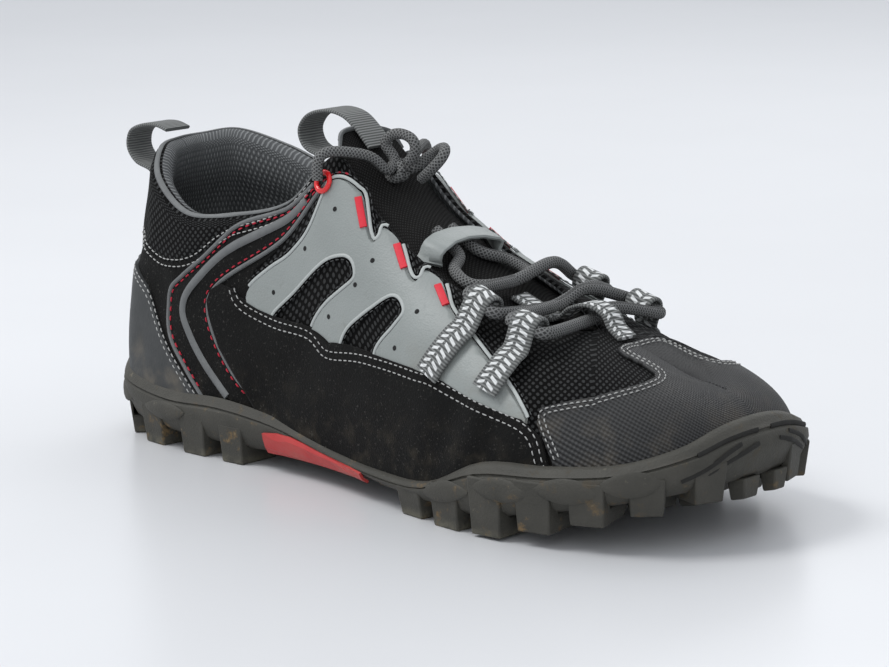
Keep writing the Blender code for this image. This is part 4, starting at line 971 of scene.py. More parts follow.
def make_upper_look():
    """Black suede with a nap, and open mesh where the attribute says so, with painted shade along the mesh's
    edge.
    """
    look = Look("upper_suede_and_mesh", roughness=0.95, Specular_IOR_Level=0.10, Sheen_Weight=0.03)
    mesh = look.ramp(look.attribute("mesh_area"), -0.0003, 0.0003)
    nap = look.noise(0.0007, 4.0)
    patches = look.noise(0.022, 4.0)
    suede = look.mix(patches, srgb(11, 11, 11), srgb(24, 24, 23))
    fibres = look.ramp(look.noise(0.0011, 2.0, roughness=0.8), 0.60, 0.74)
    suede = look.mix(look.times(fibres, 0.45), suede, srgb(88, 86, 82))
    suede = dusty(look, suede, 0.016, 0.042, 0.12, 0.007)
    weave = look.weave(50, -40, 0.0017)
    holes = look.ramp(weave, 0.15, 0.55)
    cloth = look.mix(holes, srgb(4, 4, 4), srgb(50, 51, 51))
    edge = look.ramp(look.maths("ABSOLUTE", look.attribute("mesh_area")), 0.0, 0.0009)
    colour = look.mix(mesh, suede, cloth)
    height = look.node("ShaderNodeMix", {"Factor": mesh, 2: nap, 3: look.times(holes, 2.2)},
                       data_type="FLOAT").outputs[0]
    normal = look.bump(height, 0.0005, 0.7)
    step = look.ramp(look.attribute("mesh_area"), -0.0006, 0.0004, 1.0, 0.0)
    normal = look.bump(step, 0.0009, 0.8, normal)
    # Blends halfway to near black along the open mesh's edge: painted shade where the suede steps down onto
    # the mesh.
    colour = look.mix(look.maths("MULTIPLY_ADD", edge, -0.5, 0.5), colour, srgb(5, 5, 5))
    return look.finish(colour, normal)


def make_lining_look():
    """Grey woven lining."""
    look = Look("collar_lining", roughness=0.85, Specular_IOR_Level=0.2)
    weave = look.weave(35, -35, 0.0016)
    shade = look.mix(look.ramp(weave, 0.1, 0.7), srgb(58, 60, 62), srgb(128, 130, 131))
    worn = look.mix(look.noise(0.02), srgb(60, 62, 63), srgb(120, 122, 122))
    return look.finish(look.mix(0.35, shade, worn), look.bump(weave, 0.0006, 0.7))


def make_panel_look():
    """Smooth grey synthetic leather with a fine grain, small scuffs and soiling."""
    look = Look("grey_panel", roughness=0.55, Specular_IOR_Level=0.35)
    tone = look.mix(look.noise(0.03, 4.0), srgb(122, 127, 125), srgb(142, 147, 145))
    soil = look.ramp(look.noise(0.006, 6.0, roughness=0.7), 0.58, 0.80)
    tone = look.mix(look.times(soil, 0.30), tone, srgb(92, 92, 86))
    tone = dusty(look, tone, 0.030, 0.070, 0.35)
    grain = look.cells(0.00075)
    scuff = look.ramp(look.noise(0.0022, 5.0), 0.62, 0.72)
    normal = look.bump(grain, 0.0002, 0.35)
    roughness = look.maths("MULTIPLY_ADD", scuff, 0.18, 0.46)
    return look.finish(tone, normal, roughness)


def make_plain_look(name, dark, light, roughness, grain=0.0006, depth=0.0002, patch=0.015, dust=None, **more):
    """A finish with patchy tone, fine grain and dust where it is asked for."""
    look = Look(name, roughness=roughness, **more)
    tone = look.mix(look.noise(patch, 5.0), dark, light)
    if dust:
        tone = dusty(look, tone, *dust)
    wear = look.maths("MULTIPLY_ADD", look.noise(patch / 3, 4.0), 0.25, roughness - 0.12)
    return look.finish(tone, look.bump(look.noise(grain, 3.0), depth, 0.6), wear)


def make_rubber_look():
    """Dusty sole rubber: paler on the worn lug faces, with dried soil in patches, most of it low down."""
    look = Look("sole_rubber", roughness=0.72, Specular_IOR_Level=0.3)
    tone = look.mix(look.noise(0.010, 6.0), srgb(48, 48, 44), srgb(74, 72, 66))
    worn = look.ramp(look.height(), 0.0002, 0.0045, 0.75, 0.0)
    worn = look.times(worn, look.ramp(look.noise(0.004, 5.0), 0.30, 0.62))
    tone = look.mix(worn, tone, srgb(100, 97, 84))
    soil = look.ramp(look.noise(0.007, 6.0, roughness=0.68), 0.56, 0.68)
    band = look.ramp(look.height(), 0.004, 0.026, 1.0, 0.12)
    tone = look.mix(look.times(look.times(soil, band), 0.75), tone, MUD)
    pale = look.ramp(look.noise(0.0035, 5.0, roughness=0.7), 0.63, 0.76)
    tone = look.mix(look.times(pale, 0.35), tone, srgb(150, 144, 126))
    grain = look.maths("ADD", look.noise(0.0008, 4.0), look.times(look.noise(0.005, 3.0), 0.8))
    roughness = look.maths("MULTIPLY_ADD", soil, 0.22, 0.62)
    return look.finish(tone, look.bump(grain, 0.00035, 0.7), roughness)


def make_toe_look():
    """Dark ribbed cloth of the toe cap, with soiled patches and dust."""
    look = Look("toe_cloth", roughness=0.60, Specular_IOR_Level=0.30)
    ribs = look.stripes(62, 0.0013)
    cross = look.stripes(-28, 0.0013)
    cloth = look.maths("MULTIPLY_ADD", ribs, 0.75, look.times(cross, 0.35))
    tone = look.mix(look.ramp(cloth, 0.2, 0.9), srgb(14, 14, 15), srgb(52, 53, 54))
    tone = soiled(look, tone, 0.02, 0.30, srgb(48, 47, 45))
    tone = dusty(look, tone, 0.026, 0.056, 0.30, 0.012)
    return look.finish(tone, look.bump(cloth, 0.0004, 0.8))


def make_webbing_look(name, ticks):
    """Ribbed webbing, with rows of white bars where ticks is set."""
    look = Look(name, roughness=0.8, Specular_IOR_Level=0.2)
    ribs = look.stripes(0, 0.0011)
    tone = look.mix(ribs, srgb(74, 76, 76), srgb(128, 130, 129))
    if ticks:
        parts = look.node("ShaderNodeSeparateXYZ", {0: look.lengths}).outputs
        away = look.maths("ABSOLUTE", parts["Y"])
        turn = look.times(look.maths("MULTIPLY_ADD", away, 0.45, parts["X"]), 2 * math.pi / 0.0024)
        bars = look.ramp(look.maths("SINE", turn), -0.10, 0.25)
        column = look.times(look.ramp(away, 0.0005, 0.0009),
                            look.ramp(away, 0.0031, 0.0036, 1.0, 0.0))
        tone = look.mix(look.times(bars, column), tone, srgb(222, 224, 224))
    tone = soiled(look, tone, 0.008, 0.25, srgb(74, 72, 66))
    return look.finish(tone, look.bump(ribs, 0.0003, 0.8))


def make_lace_look():
    """Round braided lace."""
    look = Look("grey_lace", roughness=0.85, Specular_IOR_Level=0.15)
    one = look.stripes(35, 0.0010)
    two = look.stripes(-35, 0.0010)
    braid = look.maths("MAXIMUM", one, two)
    tone = look.mix(look.ramp(braid, 0.45, 0.95), srgb(60, 61, 62), srgb(122, 123, 123))
    tone = soiled(look, tone, 0.006, 0.3, srgb(78, 76, 70))
    return look.finish(tone, look.bump(braid, 0.0004, 0.9))


def make_tongue_look():
    """Dark woven cloth."""
    look = Look("tongue_cloth", roughness=0.9, Specular_IOR_Level=0.10)
    weave = look.weave(45, -45, 0.0018)
    tone = look.mix(look.ramp(weave, 0.1, 0.6), srgb(9, 9, 9), srgb(40, 40, 40))
    tone = soiled(look, tone, 0.012, 0.3, srgb(46, 45, 43))
    return look.finish(tone, look.bump(weave, 0.0004, 0.7))


def make_plate_look():
    """Worn steel with dried soil."""
    look = Look("plate_steel", roughness=0.38, metallic=1.0)
    tone = look.mix(look.noise(0.004, 6.0), srgb(150, 148, 140), srgb(205, 204, 198))
    soil = look.ramp(look.noise(0.006, 5.0), 0.50, 0.66)
    tone = look.mix(look.times(soil, 0.6), tone, MUD)
    return look.finish(tone, look.bump(look.noise(0.0012), 0.0001, 0.5),
                       look.maths("MULTIPLY_ADD", soil, 0.35, 0.30))


LOOKS = {
    "upper": make_upper_look(),
    "lining": make_lining_look(),
    "panel": make_panel_look(),
    "rim": make_plain_look("panel_rim", srgb(150, 155, 153), srgb(172, 176, 174), 0.55),
    "piping": make_plain_look("piping", srgb(80, 82, 83), srgb(112, 114, 114), 0.7, 0.0005, 0.0002, 0.006),
    "counter": make_plain_look("heel_rubber", srgb(38, 40, 41), srgb(54, 56, 56), 0.6, 0.0012, 0.0002, 0.015,
                               (0.020, 0.045, 0.5)),
    "toe": make_toe_look(),
    "rubber": make_rubber_look(),
    "red_rubber": make_plain_look("red_rubber", srgb(160, 38, 38), srgb(186, 56, 54), 0.5, 0.0010, 0.0001,
                                  0.012, (0.002, 0.018, 0.35)),
    "red": make_plain_look("red_enamel", srgb(206, 16, 22), srgb(222, 26, 30), 0.25, Coat_Weight=0.3),
    "red_bar": make_plain_look("red_bar", srgb(190, 14, 36), srgb(208, 24, 48), 0.6),
    "thread_white": make_plain_look("white_thread", srgb(140, 140, 138), srgb(178, 178, 176), 0.8),
    "thread_grey": make_plain_look("grey_thread", srgb(58, 60, 60), srgb(82, 84, 84), 0.8),
    "thread_red": make_plain_look("red_thread", srgb(160, 20, 42), srgb(190, 32, 56), 0.8),
    # The grooves' dark tone is painted shade: dark cords stand in for the shadowed hollows of the grooves.
    "groove": make_plain_look("groove_painted_shade", srgb(17, 17, 15), srgb(30, 29, 26), 0.85),
    "hole": make_plain_look("pinhole", srgb(6, 6, 6), srgb(14, 14, 14), 0.9),
    "steel": make_plate_look(),
    "insole": make_plain_look("insole_foam", srgb(52, 53, 54), srgb(80, 81, 82), 0.9, 0.0009, 0.0003),
    "tongue": make_tongue_look(),
    "webbing": make_webbing_look("grey_webbing", False),
    "ticked": make_webbing_look("ticked_webbing", True),
    "lace": make_lace_look(),
}


def settle(item, slot, *nodes):
    """The piece rides on the shoe's one body and stands for the named solids; slot is not used."""
    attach(item, "root")
    if nodes:
        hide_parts(*nodes)
    return item


def piece(form, name, look, slot, *nodes):
    return settle(form.make(name, LOOKS[look]), slot, *nodes)


def smooth_path(path, spacing):
    """Points a set distance apart on a smooth curve, in the part's frame."""
    return [framed(point) for point in curve_through([tuple(p) for p in path], spacing)]


def strap(name, look, points, ways, width):
    """Webbing along points, which stands for the solid of its name."""
    form = Form()
    sweep(form, (points, ways), strap_profile(width, WEBBING_THICKNESS))
    piece(form, "shoe_" + name, look, "grey_webbing", name)


# Upper: steps along it and round its wall, and the areas of open mesh
FINE_STEPS = 9
OUTER_STEPS = 46
RIM_STEPS = 6
LINING_TURN = 0.35
INNER_STEPS = 16
MESH_AREA = ((4.45, 0.56), (4.68, 0.50), (5.60, 0.38), (6.05, 0.31), (6.89, 0.38), (7.70, 0.42),
             (8.28, 0.43), (9.55, 0.35), (9.95, 0.20), (13.9, 0.20), (13.9, 1.40), (5.75, 1.40),
             (5.45, 0.87), (4.55, 0.70))
COLLAR_AREA = ((-1.0, 0.70), (0.0, 0.70), (1.49, 0.685), (2.42, 0.675), (2.83, 0.705), (3.32, 0.765),
               (4.06, 0.90), (5.56, 0.955), (5.70, 1.40), (-1.0, 1.40))


def wall_at(t, s):
    padding = smooth((s - PADDING_SHARE) / PADDING_RISE) * smooth((PADDING_END - t) / PADDING_FADE)
    return UPPER_WALL + (COLLAR_PAD - UPPER_WALL) * padding


def wall_profile(side, t):
    """Section of the wall: up the outer face, round over the edge and down the lining."""
    open_edge = t < VAMP_POINT
    rows = []
    wall = wall_at(t, 1.0)
    height = side_length(side, t)
    top = 1.0 - (wall / 2 / height if open_edge else 0.0)
    for k in range(OUTER_STEPS + 1):
        s = top * k / OUTER_STEPS
        rows.append((skin(side, t, s)[0], s, False))
    edge, normal = skin(side, t, top)
    climb = (edge - skin(side, t, top - 0.02)[0]).normalized()
    centre = edge - normal * (wall / 2)
    for k in range(1, RIM_STEPS):
        angle = math.pi * k / RIM_STEPS
        if open_edge:
            point = centre + normal * (wall / 2 * math.cos(angle)) + climb * (wall / 2 * math.sin(angle))
        else:
            point = edge - normal * (wall * k / RIM_STEPS)
        rows.append((point, 1.0, k > RIM_STEPS * LINING_TURN))
    for k in range(INNER_STEPS + 1):
        s = top * (1.0 - k / INNER_STEPS)
        rows.append((skin(side, t, s, -wall_at(t, s))[0], s, True))
    return rows


def make_upper():
    places = list(np.linspace(0, VAMP_POINT - 0.001, int(VAMP_POINT * FINE_STEPS) + 1))
    places += list(np.linspace(VAMP_POINT, LAST_ROW, int((LAST_ROW - VAMP_POINT) * FINE_STEPS) + 1))
    form, shares, linings = Form(), [], []
    columns = OUTER_STEPS + RIM_STEPS + INNER_STEPS + 1
    for side in (-1, 1):
        points, coordinates = [], []
        for t in places:
            for point, s, inside in wall_profile(side, t):
                if t in (0.0, LAST_ROW):
                    point.y = upper_point(-1, t, 0.5).y
                points.append(point)
                coordinates.append((t * PLACE_LENGTH, s * SHARE_LENGTH * (1.0 if s < 1 else 1.05)))
                shares.append((t, s))
                linings.append(inside)
        faces = []
        for i in range(len(places) - 1):
            here, there = i * columns, (i + 1) * columns
            for j in range(columns - 1):
                if places[i] >= VAMP_POINT - 0.01 and OUTER_STEPS <= j < OUTER_STEPS + RIM_STEPS:
                    continue
                corners = (here + j, there + j, there + j + 1, here + j + 1)
                faces.append(corners if side < 0 else corners[::-1])
            foot = (here + columns - 1, there + columns - 1, there, here)
            faces.append(foot if side < 0 else foot[::-1])
        form.add(points, faces, coordinates)
    mesh_area = np.maximum(signed_distance(shares, MESH_AREA), signed_distance(shares, COLLAR_AREA))
    item = form.make("shoe_upper", LOOKS["upper"], 60, {"mesh_area": mesh_area})
    item.data.materials.append(LOOKS["lining"])
    for polygon in item.data.polygons:
        if all(linings[k] for k in polygon.vertices):
            polygon.material_index = 1
    weld(item.data)
    return settle(item, "black_suede", "upper")


# Overlays: outlines as places and shares on the upper, smooth where a row of points bends gently
EYESTAY = ((5.95, 0.90), (6.49, 0.955), (6.66, 0.975), (6.74, 0.93), (6.82, 0.865), (6.92, 0.85),
           (7.05, 0.90), (7.14, 0.965), (7.42, 0.985), (7.54, 0.94), (7.64, 0.87), (7.74, 0.85),
           (7.88, 0.89), (7.98, 0.96), (8.24, 0.975), (8.34, 0.92), (8.42, 0.84), (8.62, 0.78),
           (8.95, 0.68), (9.30, 0.55), (9.66, 0.36), (9.45, 0.355), (8.85, 0.39), (8.28, 0.43),
           (7.70, 0.42), (6.89, 0.38), (6.05, 0.31), (5.60, 0.38), (4.90, 0.465), (4.62, 0.505),
           (4.47, 0.56), (4.55, 0.63), (4.93, 0.70), (5.30, 0.72), (5.62, 0.76))
WINDOW_REAR = ((4.86, 0.40), (5.00, 0.50), (5.45, 0.56), (6.10, 0.635), (6.38, 0.67), (6.52, 0.665),
               (6.53, 0.61), (6.25, 0.52), (5.75, 0.40), (5.55, 0.31), (5.20, 0.35))
WINDOW_FRONT = ((6.13, 0.24), (6.30, 0.38), (6.62, 0.49), (7.10, 0.64), (7.34, 0.70), (7.50, 0.705),
                (7.55, 0.655), (7.32, 0.55), (6.98, 0.42), (6.86, 0.31), (6.50, 0.27))
EYESTAY_SMALL_HOLES = ((6.10, 0.80), (5.55, 0.69), (4.98, 0.58), (6.90, 0.76), (6.55, 0.59), (6.05, 0.42),
                       (7.80, 0.70), (7.35, 0.47))
EYESTAY_SPAN = (3.5, 10.5)
RED_BARS = ((6.56, 0.89), (7.42, 0.905), (8.20, 0.875))
RED_BAR_SLANT = ((-0.02, 0.035), (0.13, -0.045))
RED_BAR_SIZE = (0.0026, 0.0008)
RED_BAR_LIFT = 0.0002
PINHOLE_RADIUS = 0.0009
PINHOLE_LIFT = 0.00006
# Pale rim of the panels and the thread inside it: a stitch's length, gap and radius
RIM_INSET = 0.0005
RIM_SIZE = (0.0006, 0.0003)
RIM_SEAM_INSET = 0.0019
RIM_STITCH = (0.0016, 0.0010, 0.00016)
# Panels: their lift and outer face, how far they reach under the rim, their bevel and their grid
OVERLAY_LIFT = CURVED_GAP * 0.4
OVERLAY_FACE = OVERLAY_LIFT + OVERLAY_THICKNESS
RIM_TUCK = 0.003
OVERLAY_BEVEL = 0.00035
OVERLAY_STEPS = 7
OVERLAY_ROWS = 34


def rim_share(side, t):
    """The share at which a panel starts, tucked in behind the sole's rim."""
    return share_at_height(side, t, station(side, t)[10] - RIM_TUCK)


def fine_grid(first, last, lift):
    """The upper's face above the sole's rim from one place to another, both sides joined over the toe."""
    places = np.linspace(first, last, int((last - first) * OVERLAY_STEPS) + 1)
    form = Form()
    for side in (-1, 1):
        points, coordinates = [], []
        for t in places:
            low = rim_share(side, t)
            for k in range(OVERLAY_ROWS + 1):
                s = low + (1 - low) * k / OVERLAY_ROWS
                point, _ = skin(side, t, s, lift)
                if t in (0.0, LAST_ROW):
                    point.y = upper_point(-1, t, 0.5).y
                points.append(point)
                coordinates.append(metres(t, s))
        form.add(points, grid_faces(len(places), OVERLAY_ROWS + 1, side > 0), coordinates)
    return form


def thicken(item, thickness):
    """Gives a sheet its thickness on the outer side."""
    solid = item.modifiers.new("Thickness", "SOLIDIFY")
    solid.thickness = thickness
    solid.offset = 1.0


def make_overlay(name, first, last, cuts, look):
    """A panel cut out of the upper's face by the first cutter, with windows cut by the others."""
    item = fine_grid(first, last, OVERLAY_LIFT).make(name, look, 40)
    weld(item.data)
    thicken(item, OVERLAY_THICKNESS)
    for index, cutter in enumerate(cuts):
        boolean(item, cutter, "DIFFERENCE" if index else "INTERSECT")
    mesh = apply_modifiers(item)
    for cutter in cuts:
        bpy.data.objects.remove(cutter, do_unlink=True)
    bevel(item, OVERLAY_BEVEL, 2, 50)
    mesh.shade_smooth()
    mesh.set_sharp_from_angle(angle=math.radians(45))
    return item


def on_panel(places):
    """Which places lie on the grey panel's visible part."""
    bare = signed_distance(places, QUARTER) < QUARTER_OVERLAP
    return bare & (signed_distance(places, EYESTAY) > -PANEL_OVERLAP)


def visible_runs(side, outline, lift, spacing):
    """Stretches of a closed line round an outline where the panel shows: points and ways out."""
    scaled = [metres(t, s) for t, s in closed_route(outline)]
    places = [(u / PLACE_LENGTH, v / SHARE_LENGTH) for u, v in curve_through(scaled, spacing)]
    runs, points, ways = [], [], []
    for place, shows in zip(places, on_panel(places)):
        if shows:
            point, normal = skin(side, *place, lift)
            points.append(point)
            ways.append(normal)
        elif points:
            runs.append((points, ways))
            points, ways = [], []
    runs.append((points, ways))
    return [run for run in runs if len(run[0]) > 3]


def closed_route(outline):
    return list(outline) + [outline[0]]


def side_cut(name, side, outline):
    """A cutter across one side of the shoe from an outline on the upper."""
    points, _ = line_on_upper(side, closed_route(outline), 0.0, 0.0016)
    flat = [(point.x + MIDDLE, point.z) for point in points[:-1]]
    low, high = sorted((side * 0.002, side * BALL_WIDTH))
    return prism(name, flat, low, high, "Y")


def make_eyestays():
    rims, seams, bars, holes = Form(), Form(), Form(), Form()
    for word, side in (("lateral", -1), ("medial", 1)):
        cuts = [side_cut("cut", side, outline) for outline in (EYESTAY, WINDOW_REAR, WINDOW_FRONT)]
        item = make_overlay("shoe_eyestay_" + word, *EYESTAY_SPAN, cuts, LOOKS["panel"])
        settle(item, "grey_panel", "eyestay_" + word)
        for outline, inset in ((EYESTAY, 1.0), (WINDOW_REAR, -1.0), (WINDOW_FRONT, -1.0)):
            turn = inset * -side * winding(outline)
            for line in visible_runs(side, outline, OVERLAY_FACE, 0.0011):
                sweep(rims, beside(line, turn * RIM_INSET), ring_profile(*RIM_SIZE))
                stitches(seams, beside(line, turn * RIM_SEAM_INSET), *RIM_STITCH)
        for t, s in RED_BARS:
            ends = [(t + dt, s + ds) for dt, ds in RED_BAR_SLANT]
            path = line_on_upper(side, ends, OVERLAY_FACE + RED_BAR_LIFT, 0.0008)
            sweep(bars, path, strap_profile(*RED_BAR_SIZE))
        for t, s in EYESTAY_SMALL_HOLES:
            add_disc(holes, side, t, s, PINHOLE_RADIUS, OVERLAY_FACE + PINHOLE_LIFT)
    piece(rims, "eyestay_rims", "rim", "grey_panel")
    piece(seams, "eyestay_seams", "thread_grey", "grey_panel")
    piece(bars, "red_bars", "red_bar", "red_enamel")
    piece(holes, "eyestay_pinholes", "hole", "grey_panel")


# Suede side panel: its upper edge from rear to front, and its rear edge downwards
QUARTER_TOP = ((3.72, 0.55), (3.78, 0.61), (3.95, 0.635), (4.20, 0.61), (4.32, 0.575), (4.68, 0.515),
               (5.10, 0.46), (5.60, 0.392), (6.05, 0.335), (6.45, 0.358), (6.89, 0.392), (7.70, 0.432),
               (8.28, 0.442), (8.90, 0.405), (9.58, 0.355), (9.86, 0.28), (9.98, 0.14), (10.02, -0.05))
QUARTER_REAR = ((3.72, 0.55), (3.78, 0.48), (4.00, 0.33), (4.40, 0.17), (4.85, -0.05))
QUARTER = QUARTER_TOP + QUARTER_REAR[:0:-1]
QUARTER_LIFT = 0.0005
QUARTER_THICKNESS = 0.0013
QUARTER_OVERLAP = 0.0003
PANEL_OVERLAP = 0.0004
QUARTER_COLUMNS = 110
QUARTER_ROWS = 26


def make_quarters():
    """The suede side panels, whose upper edges lie over the grey ones."""
    top_t, top_s = zip(*QUARTER_TOP)
    rear_t, rear_s = zip(*QUARTER_REAR)
    places = sorted(set(np.linspace(top_t[0], top_t[-1], QUARTER_COLUMNS)) | set(top_t) | set(rear_t))
    for word, side in (("lateral", -1), ("medial", 1)):
        form, points, coordinates = Form(), [], []
        for t in places:
            low = max(rim_share(side, t), float(np.interp(t, rear_t, rear_s)))
            high = max(low, float(np.interp(t, top_t, top_s)))
            for k in range(QUARTER_ROWS + 1):
                s = low + (high - low) * k / QUARTER_ROWS
                points.append(skin(side, t, s, QUARTER_LIFT)[0])
                coordinates.append(metres(t, s))
        form.add(points, grid_faces(len(places), QUARTER_ROWS + 1, side > 0), coordinates)
        item = form.make("suede_quarter_" + word, LOOKS["upper"], 50, {"mesh_area": [-1.0] * len(points)})
        thicken(item, QUARTER_THICKNESS)
        settle(item, "black_suede")


def winding(outline):
    """1 for an outline that runs one way round, -1 for the other."""
    total = 0.0
    for (a, b), (c, d) in zip(outline, outline[1:] + outline[:1]):
        total += a * d - c * b
    return 1.0 if total > 0 else -1.0


def add_disc(form, side, t, s, radius, lift):
    centre, normal = skin(side, t, s, lift)
    turn = normal.to_track_quat("Z", "Y")
    ring = [centre + turn @ Vector((a, b, 0)) for a, b in ring_profile(radius, radius, 10)]
    form.add(ring, [tuple(range(10))])


# Pipings on the upper's sides: route, half width, and how far aside their thread runs, 0 without thread
PIPINGS = (
    (((5.57, 0.94), (4.32, 0.95), (3.44, 0.76), (2.88, 0.59), (2.83, 0.47), (2.93, 0.34), (3.24, 0.21),
      (3.57, 0.08)), 0.0008, 0.0016),
    (((5.43, 0.91), (4.68, 0.89), (3.91, 0.79), (3.36, 0.63), (3.17, 0.50), (3.35, 0.37), (3.68, 0.23),
      (4.08, 0.10)), 0.0016, 0.0),
    (((6.30, 0.94), (5.16, 0.83), (4.30, 0.72), (3.78, 0.61), (3.70, 0.50), (3.92, 0.34), (4.32, 0.18),
      (4.77, 0.07)), 0.0008, -0.0016),
)
SUEDE_SEAM = ((4.20, 0.62), (4.32, 0.55), (4.68, 0.485), (5.60, 0.365), (6.05, 0.295), (6.89, 0.362),
              (7.70, 0.402), (8.28, 0.412), (9.55, 0.325), (9.85, 0.16), (9.95, 0.05))
COLLAR_SEAM = ((1.49, 0.685), (2.42, 0.672), (2.83, 0.702), (3.32, 0.762), (4.06, 0.90),
               (5.56, 0.952))
COUNTER_SEAM = ((1.62, 0.53), (2.28, 0.50), (2.62, 0.39), (3.02, 0.24), (3.46, 0.08))
# Double seams: route, distance between the rows, and lift
SEAMS = ((SUEDE_SEAM, 0.0026, QUARTER_LIFT + QUARTER_THICKNESS), (COLLAR_SEAM, 0.0024, 0.0003),
         (COUNTER_SEAM, 0.0022, 0.0014))
PIPING_HEIGHT = 0.0008
PIPING_LIFTS = (0.0001, 0.0003)
PIPING_STITCH = (0.0018, 0.0016, 0.0003)


def make_side_seams():
    """Double rows of white thread, grey pipings and their red thread."""
    white, red, cords = Form(), Form(), Form()
    for side in (-1, 1):
        for places, gap, lift in SEAMS:
            line = line_on_upper(side, places, lift)
            stitches(white, beside(line, gap / 2))
            stitches(white, beside(line, -gap / 2))
        for places, half_width, seam in PIPINGS:
            line = line_on_upper(side, places, PIPING_LIFTS[0])
            sweep(cords, line, ring_profile(half_width, PIPING_HEIGHT))
            if seam:
                line = line_on_upper(side, places, PIPING_LIFTS[1])
                stitches(red, beside(line, seam * side), *PIPING_STITCH)
    piece(cords, "side_pipings", "piping", "grey_webbing")
    piece(white, "side_seams", "thread_white", "black_suede")
    piece(red, "piping_seams", "thread_red", "red_enamel")


COUNTER_SPAN = (0.0, 5.0)


def make_heel_counter():
    outline = [(at * LENGTH, rise * COLLAR_HEIGHT) for at, rise in COUNTER_OUTLINE]
    cutter = prism("counter_cut", outline, -BALL_WIDTH, BALL_WIDTH, "Y")
    item = make_overlay("shoe_heel_counter", *COUNTER_SPAN, (cutter,), LOOKS["counter"])
    settle(item, "heel_rubber", "heel_counter")


# Toe cap: its rear edge up the side, its grid, and the strip along the ridge that is smoothed
TOE_EDGE = ((10.05, 0.02), (10.03, 0.17), (9.80, 0.34), (9.85, 0.42), (10.25, 0.462), (10.63, 0.49),
            (11.10, 0.55), (11.45, 0.61), (11.76, 0.69), (11.82, 0.75), (11.62, 0.79), (11.20, 0.815),
            (11.05, 0.85), (11.20, 0.92), (11.45, 1.0))
TOE_START = 10.0
TOE_FITTINGS = 6
TOE_ROWS = 90
TOE_COLUMNS = 34
TOE_SEAM_INSETS = (0.0012, 0.0030)
TOE_SEAM_LIFT = 0.0001
TOE_STITCH = (0.0013, 0.0008)
TOE_EASED_WIDTH = 0.012
TOE_EASING = 70


def make_toe_cap():
    """The ribbed cap from its curved rear edge to the toe tip, with a double seam along the edge."""
    form = Form()
    edge_t, edge_s = zip(*TOE_EDGE)
    for side in (-1, 1):
        points, coordinates = [], []
        for k in range(TOE_ROWS + 1):
            share = k / TOE_ROWS
            first = TOE_START
            for _ in range(TOE_FITTINGS):
                low = rim_share(side, first)
                first = float(np.interp(low + (1 - low) * share, edge_s, edge_t))
            for t in np.linspace(first, LAST_ROW, TOE_COLUMNS + 1):
                low = rim_share(side, t)
                s = low + (1 - low) * share
                point, _ = skin(side, t, s, OVERLAY_LIFT)
                if t == LAST_ROW:
                    point.y = upper_point(-1, t, 0.5).y
                points.append(point)
                coordinates.append(metres(t, s))
        form.add(points, grid_faces(TOE_ROWS + 1, TOE_COLUMNS + 1, side > 0, along=True), coordinates)
    item = form.make("shoe_toe_cap", LOOKS["toe"], 50)
    weld(item.data, outward=True)
    work = bmesh.new()
    work.from_mesh(item.data)
    ridge = [vert for vert in work.verts
             if abs(vert.co.y - RIDGE_OFFSET * BALL_WIDTH) < TOE_EASED_WIDTH and not vert.is_boundary]
    for _ in range(TOE_EASING):
        bmesh.ops.smooth_vert(work, verts=ridge, factor=0.5, use_axis_z=True)
    work.to_mesh(item.data)
    work.free()
    item.data.shade_smooth()
    item.data.set_sharp_from_angle(angle=math.radians(60))
    thicken(item, OVERLAY_THICKNESS)
    settle(item, "toe_cloth", "toe_cap")
    thread = Form()
    for side in (-1, 1):
        line = line_on_upper(side, TOE_EDGE[1:], OVERLAY_FACE + TOE_SEAM_LIFT)
        for inset in TOE_SEAM_INSETS:
            stitches(thread, beside(line, -side * inset), *TOE_STITCH)
    piece(thread, "toe_cap_seams", "thread_white", "black_suede")


# Binding of the collar: where it ends, its steps, and how far over the edge it sits, in degrees
BINDING_END = 5.6
BINDING_STEPS = 90
BINDING_TURN = 62


def make_collar_edge():
    """The lighter binding round the collar's inner edge."""
    form = Form()
    for side in (-1, 1):
        points, ways = [], []
        for t in np.linspace(0, BINDING_END, BINDING_STEPS):
            wall = wall_at(t, 1.0)
            height = side_length(side, t)
            edge, normal = skin(side, t, 1.0 - wall / 2 / height)
            climb = (edge - skin(side, t, 0.97 - wall / 2 / height)[0]).normalized()
            angle = math.radians(BINDING_TURN)
            way = normal * math.cos(angle) + climb * math.sin(angle)
            points.append(edge - normal * (wall / 2) + way * (wall / 2))
            ways.append(way)
        sweep(form, (points, ways), ring_profile(*COLLAR_BINDING))
    piece(form, "collar_binding", "piping", "grey_webbing")


# Sole: its steps along each place, its lugs' rounding and the relief of its side
SOLE_STEPS = 5
LUG_ROUNDING = 0.0006
LIP_SHARE = 0.45
LIP_RISE = 0.0006
RIM_EASE = 0.0002
SIDE_PROUD = 0.0004
SIDE_SHARES = (0.30, 0.38, 0.43, 0.49, 0.56)
PARTING_SHARES = (0.38, 0.43)
SIDE_FULLNESS = 0.0006
BULGE_PROUD = 0.0003
PARTING_DEPTH = 0.0008


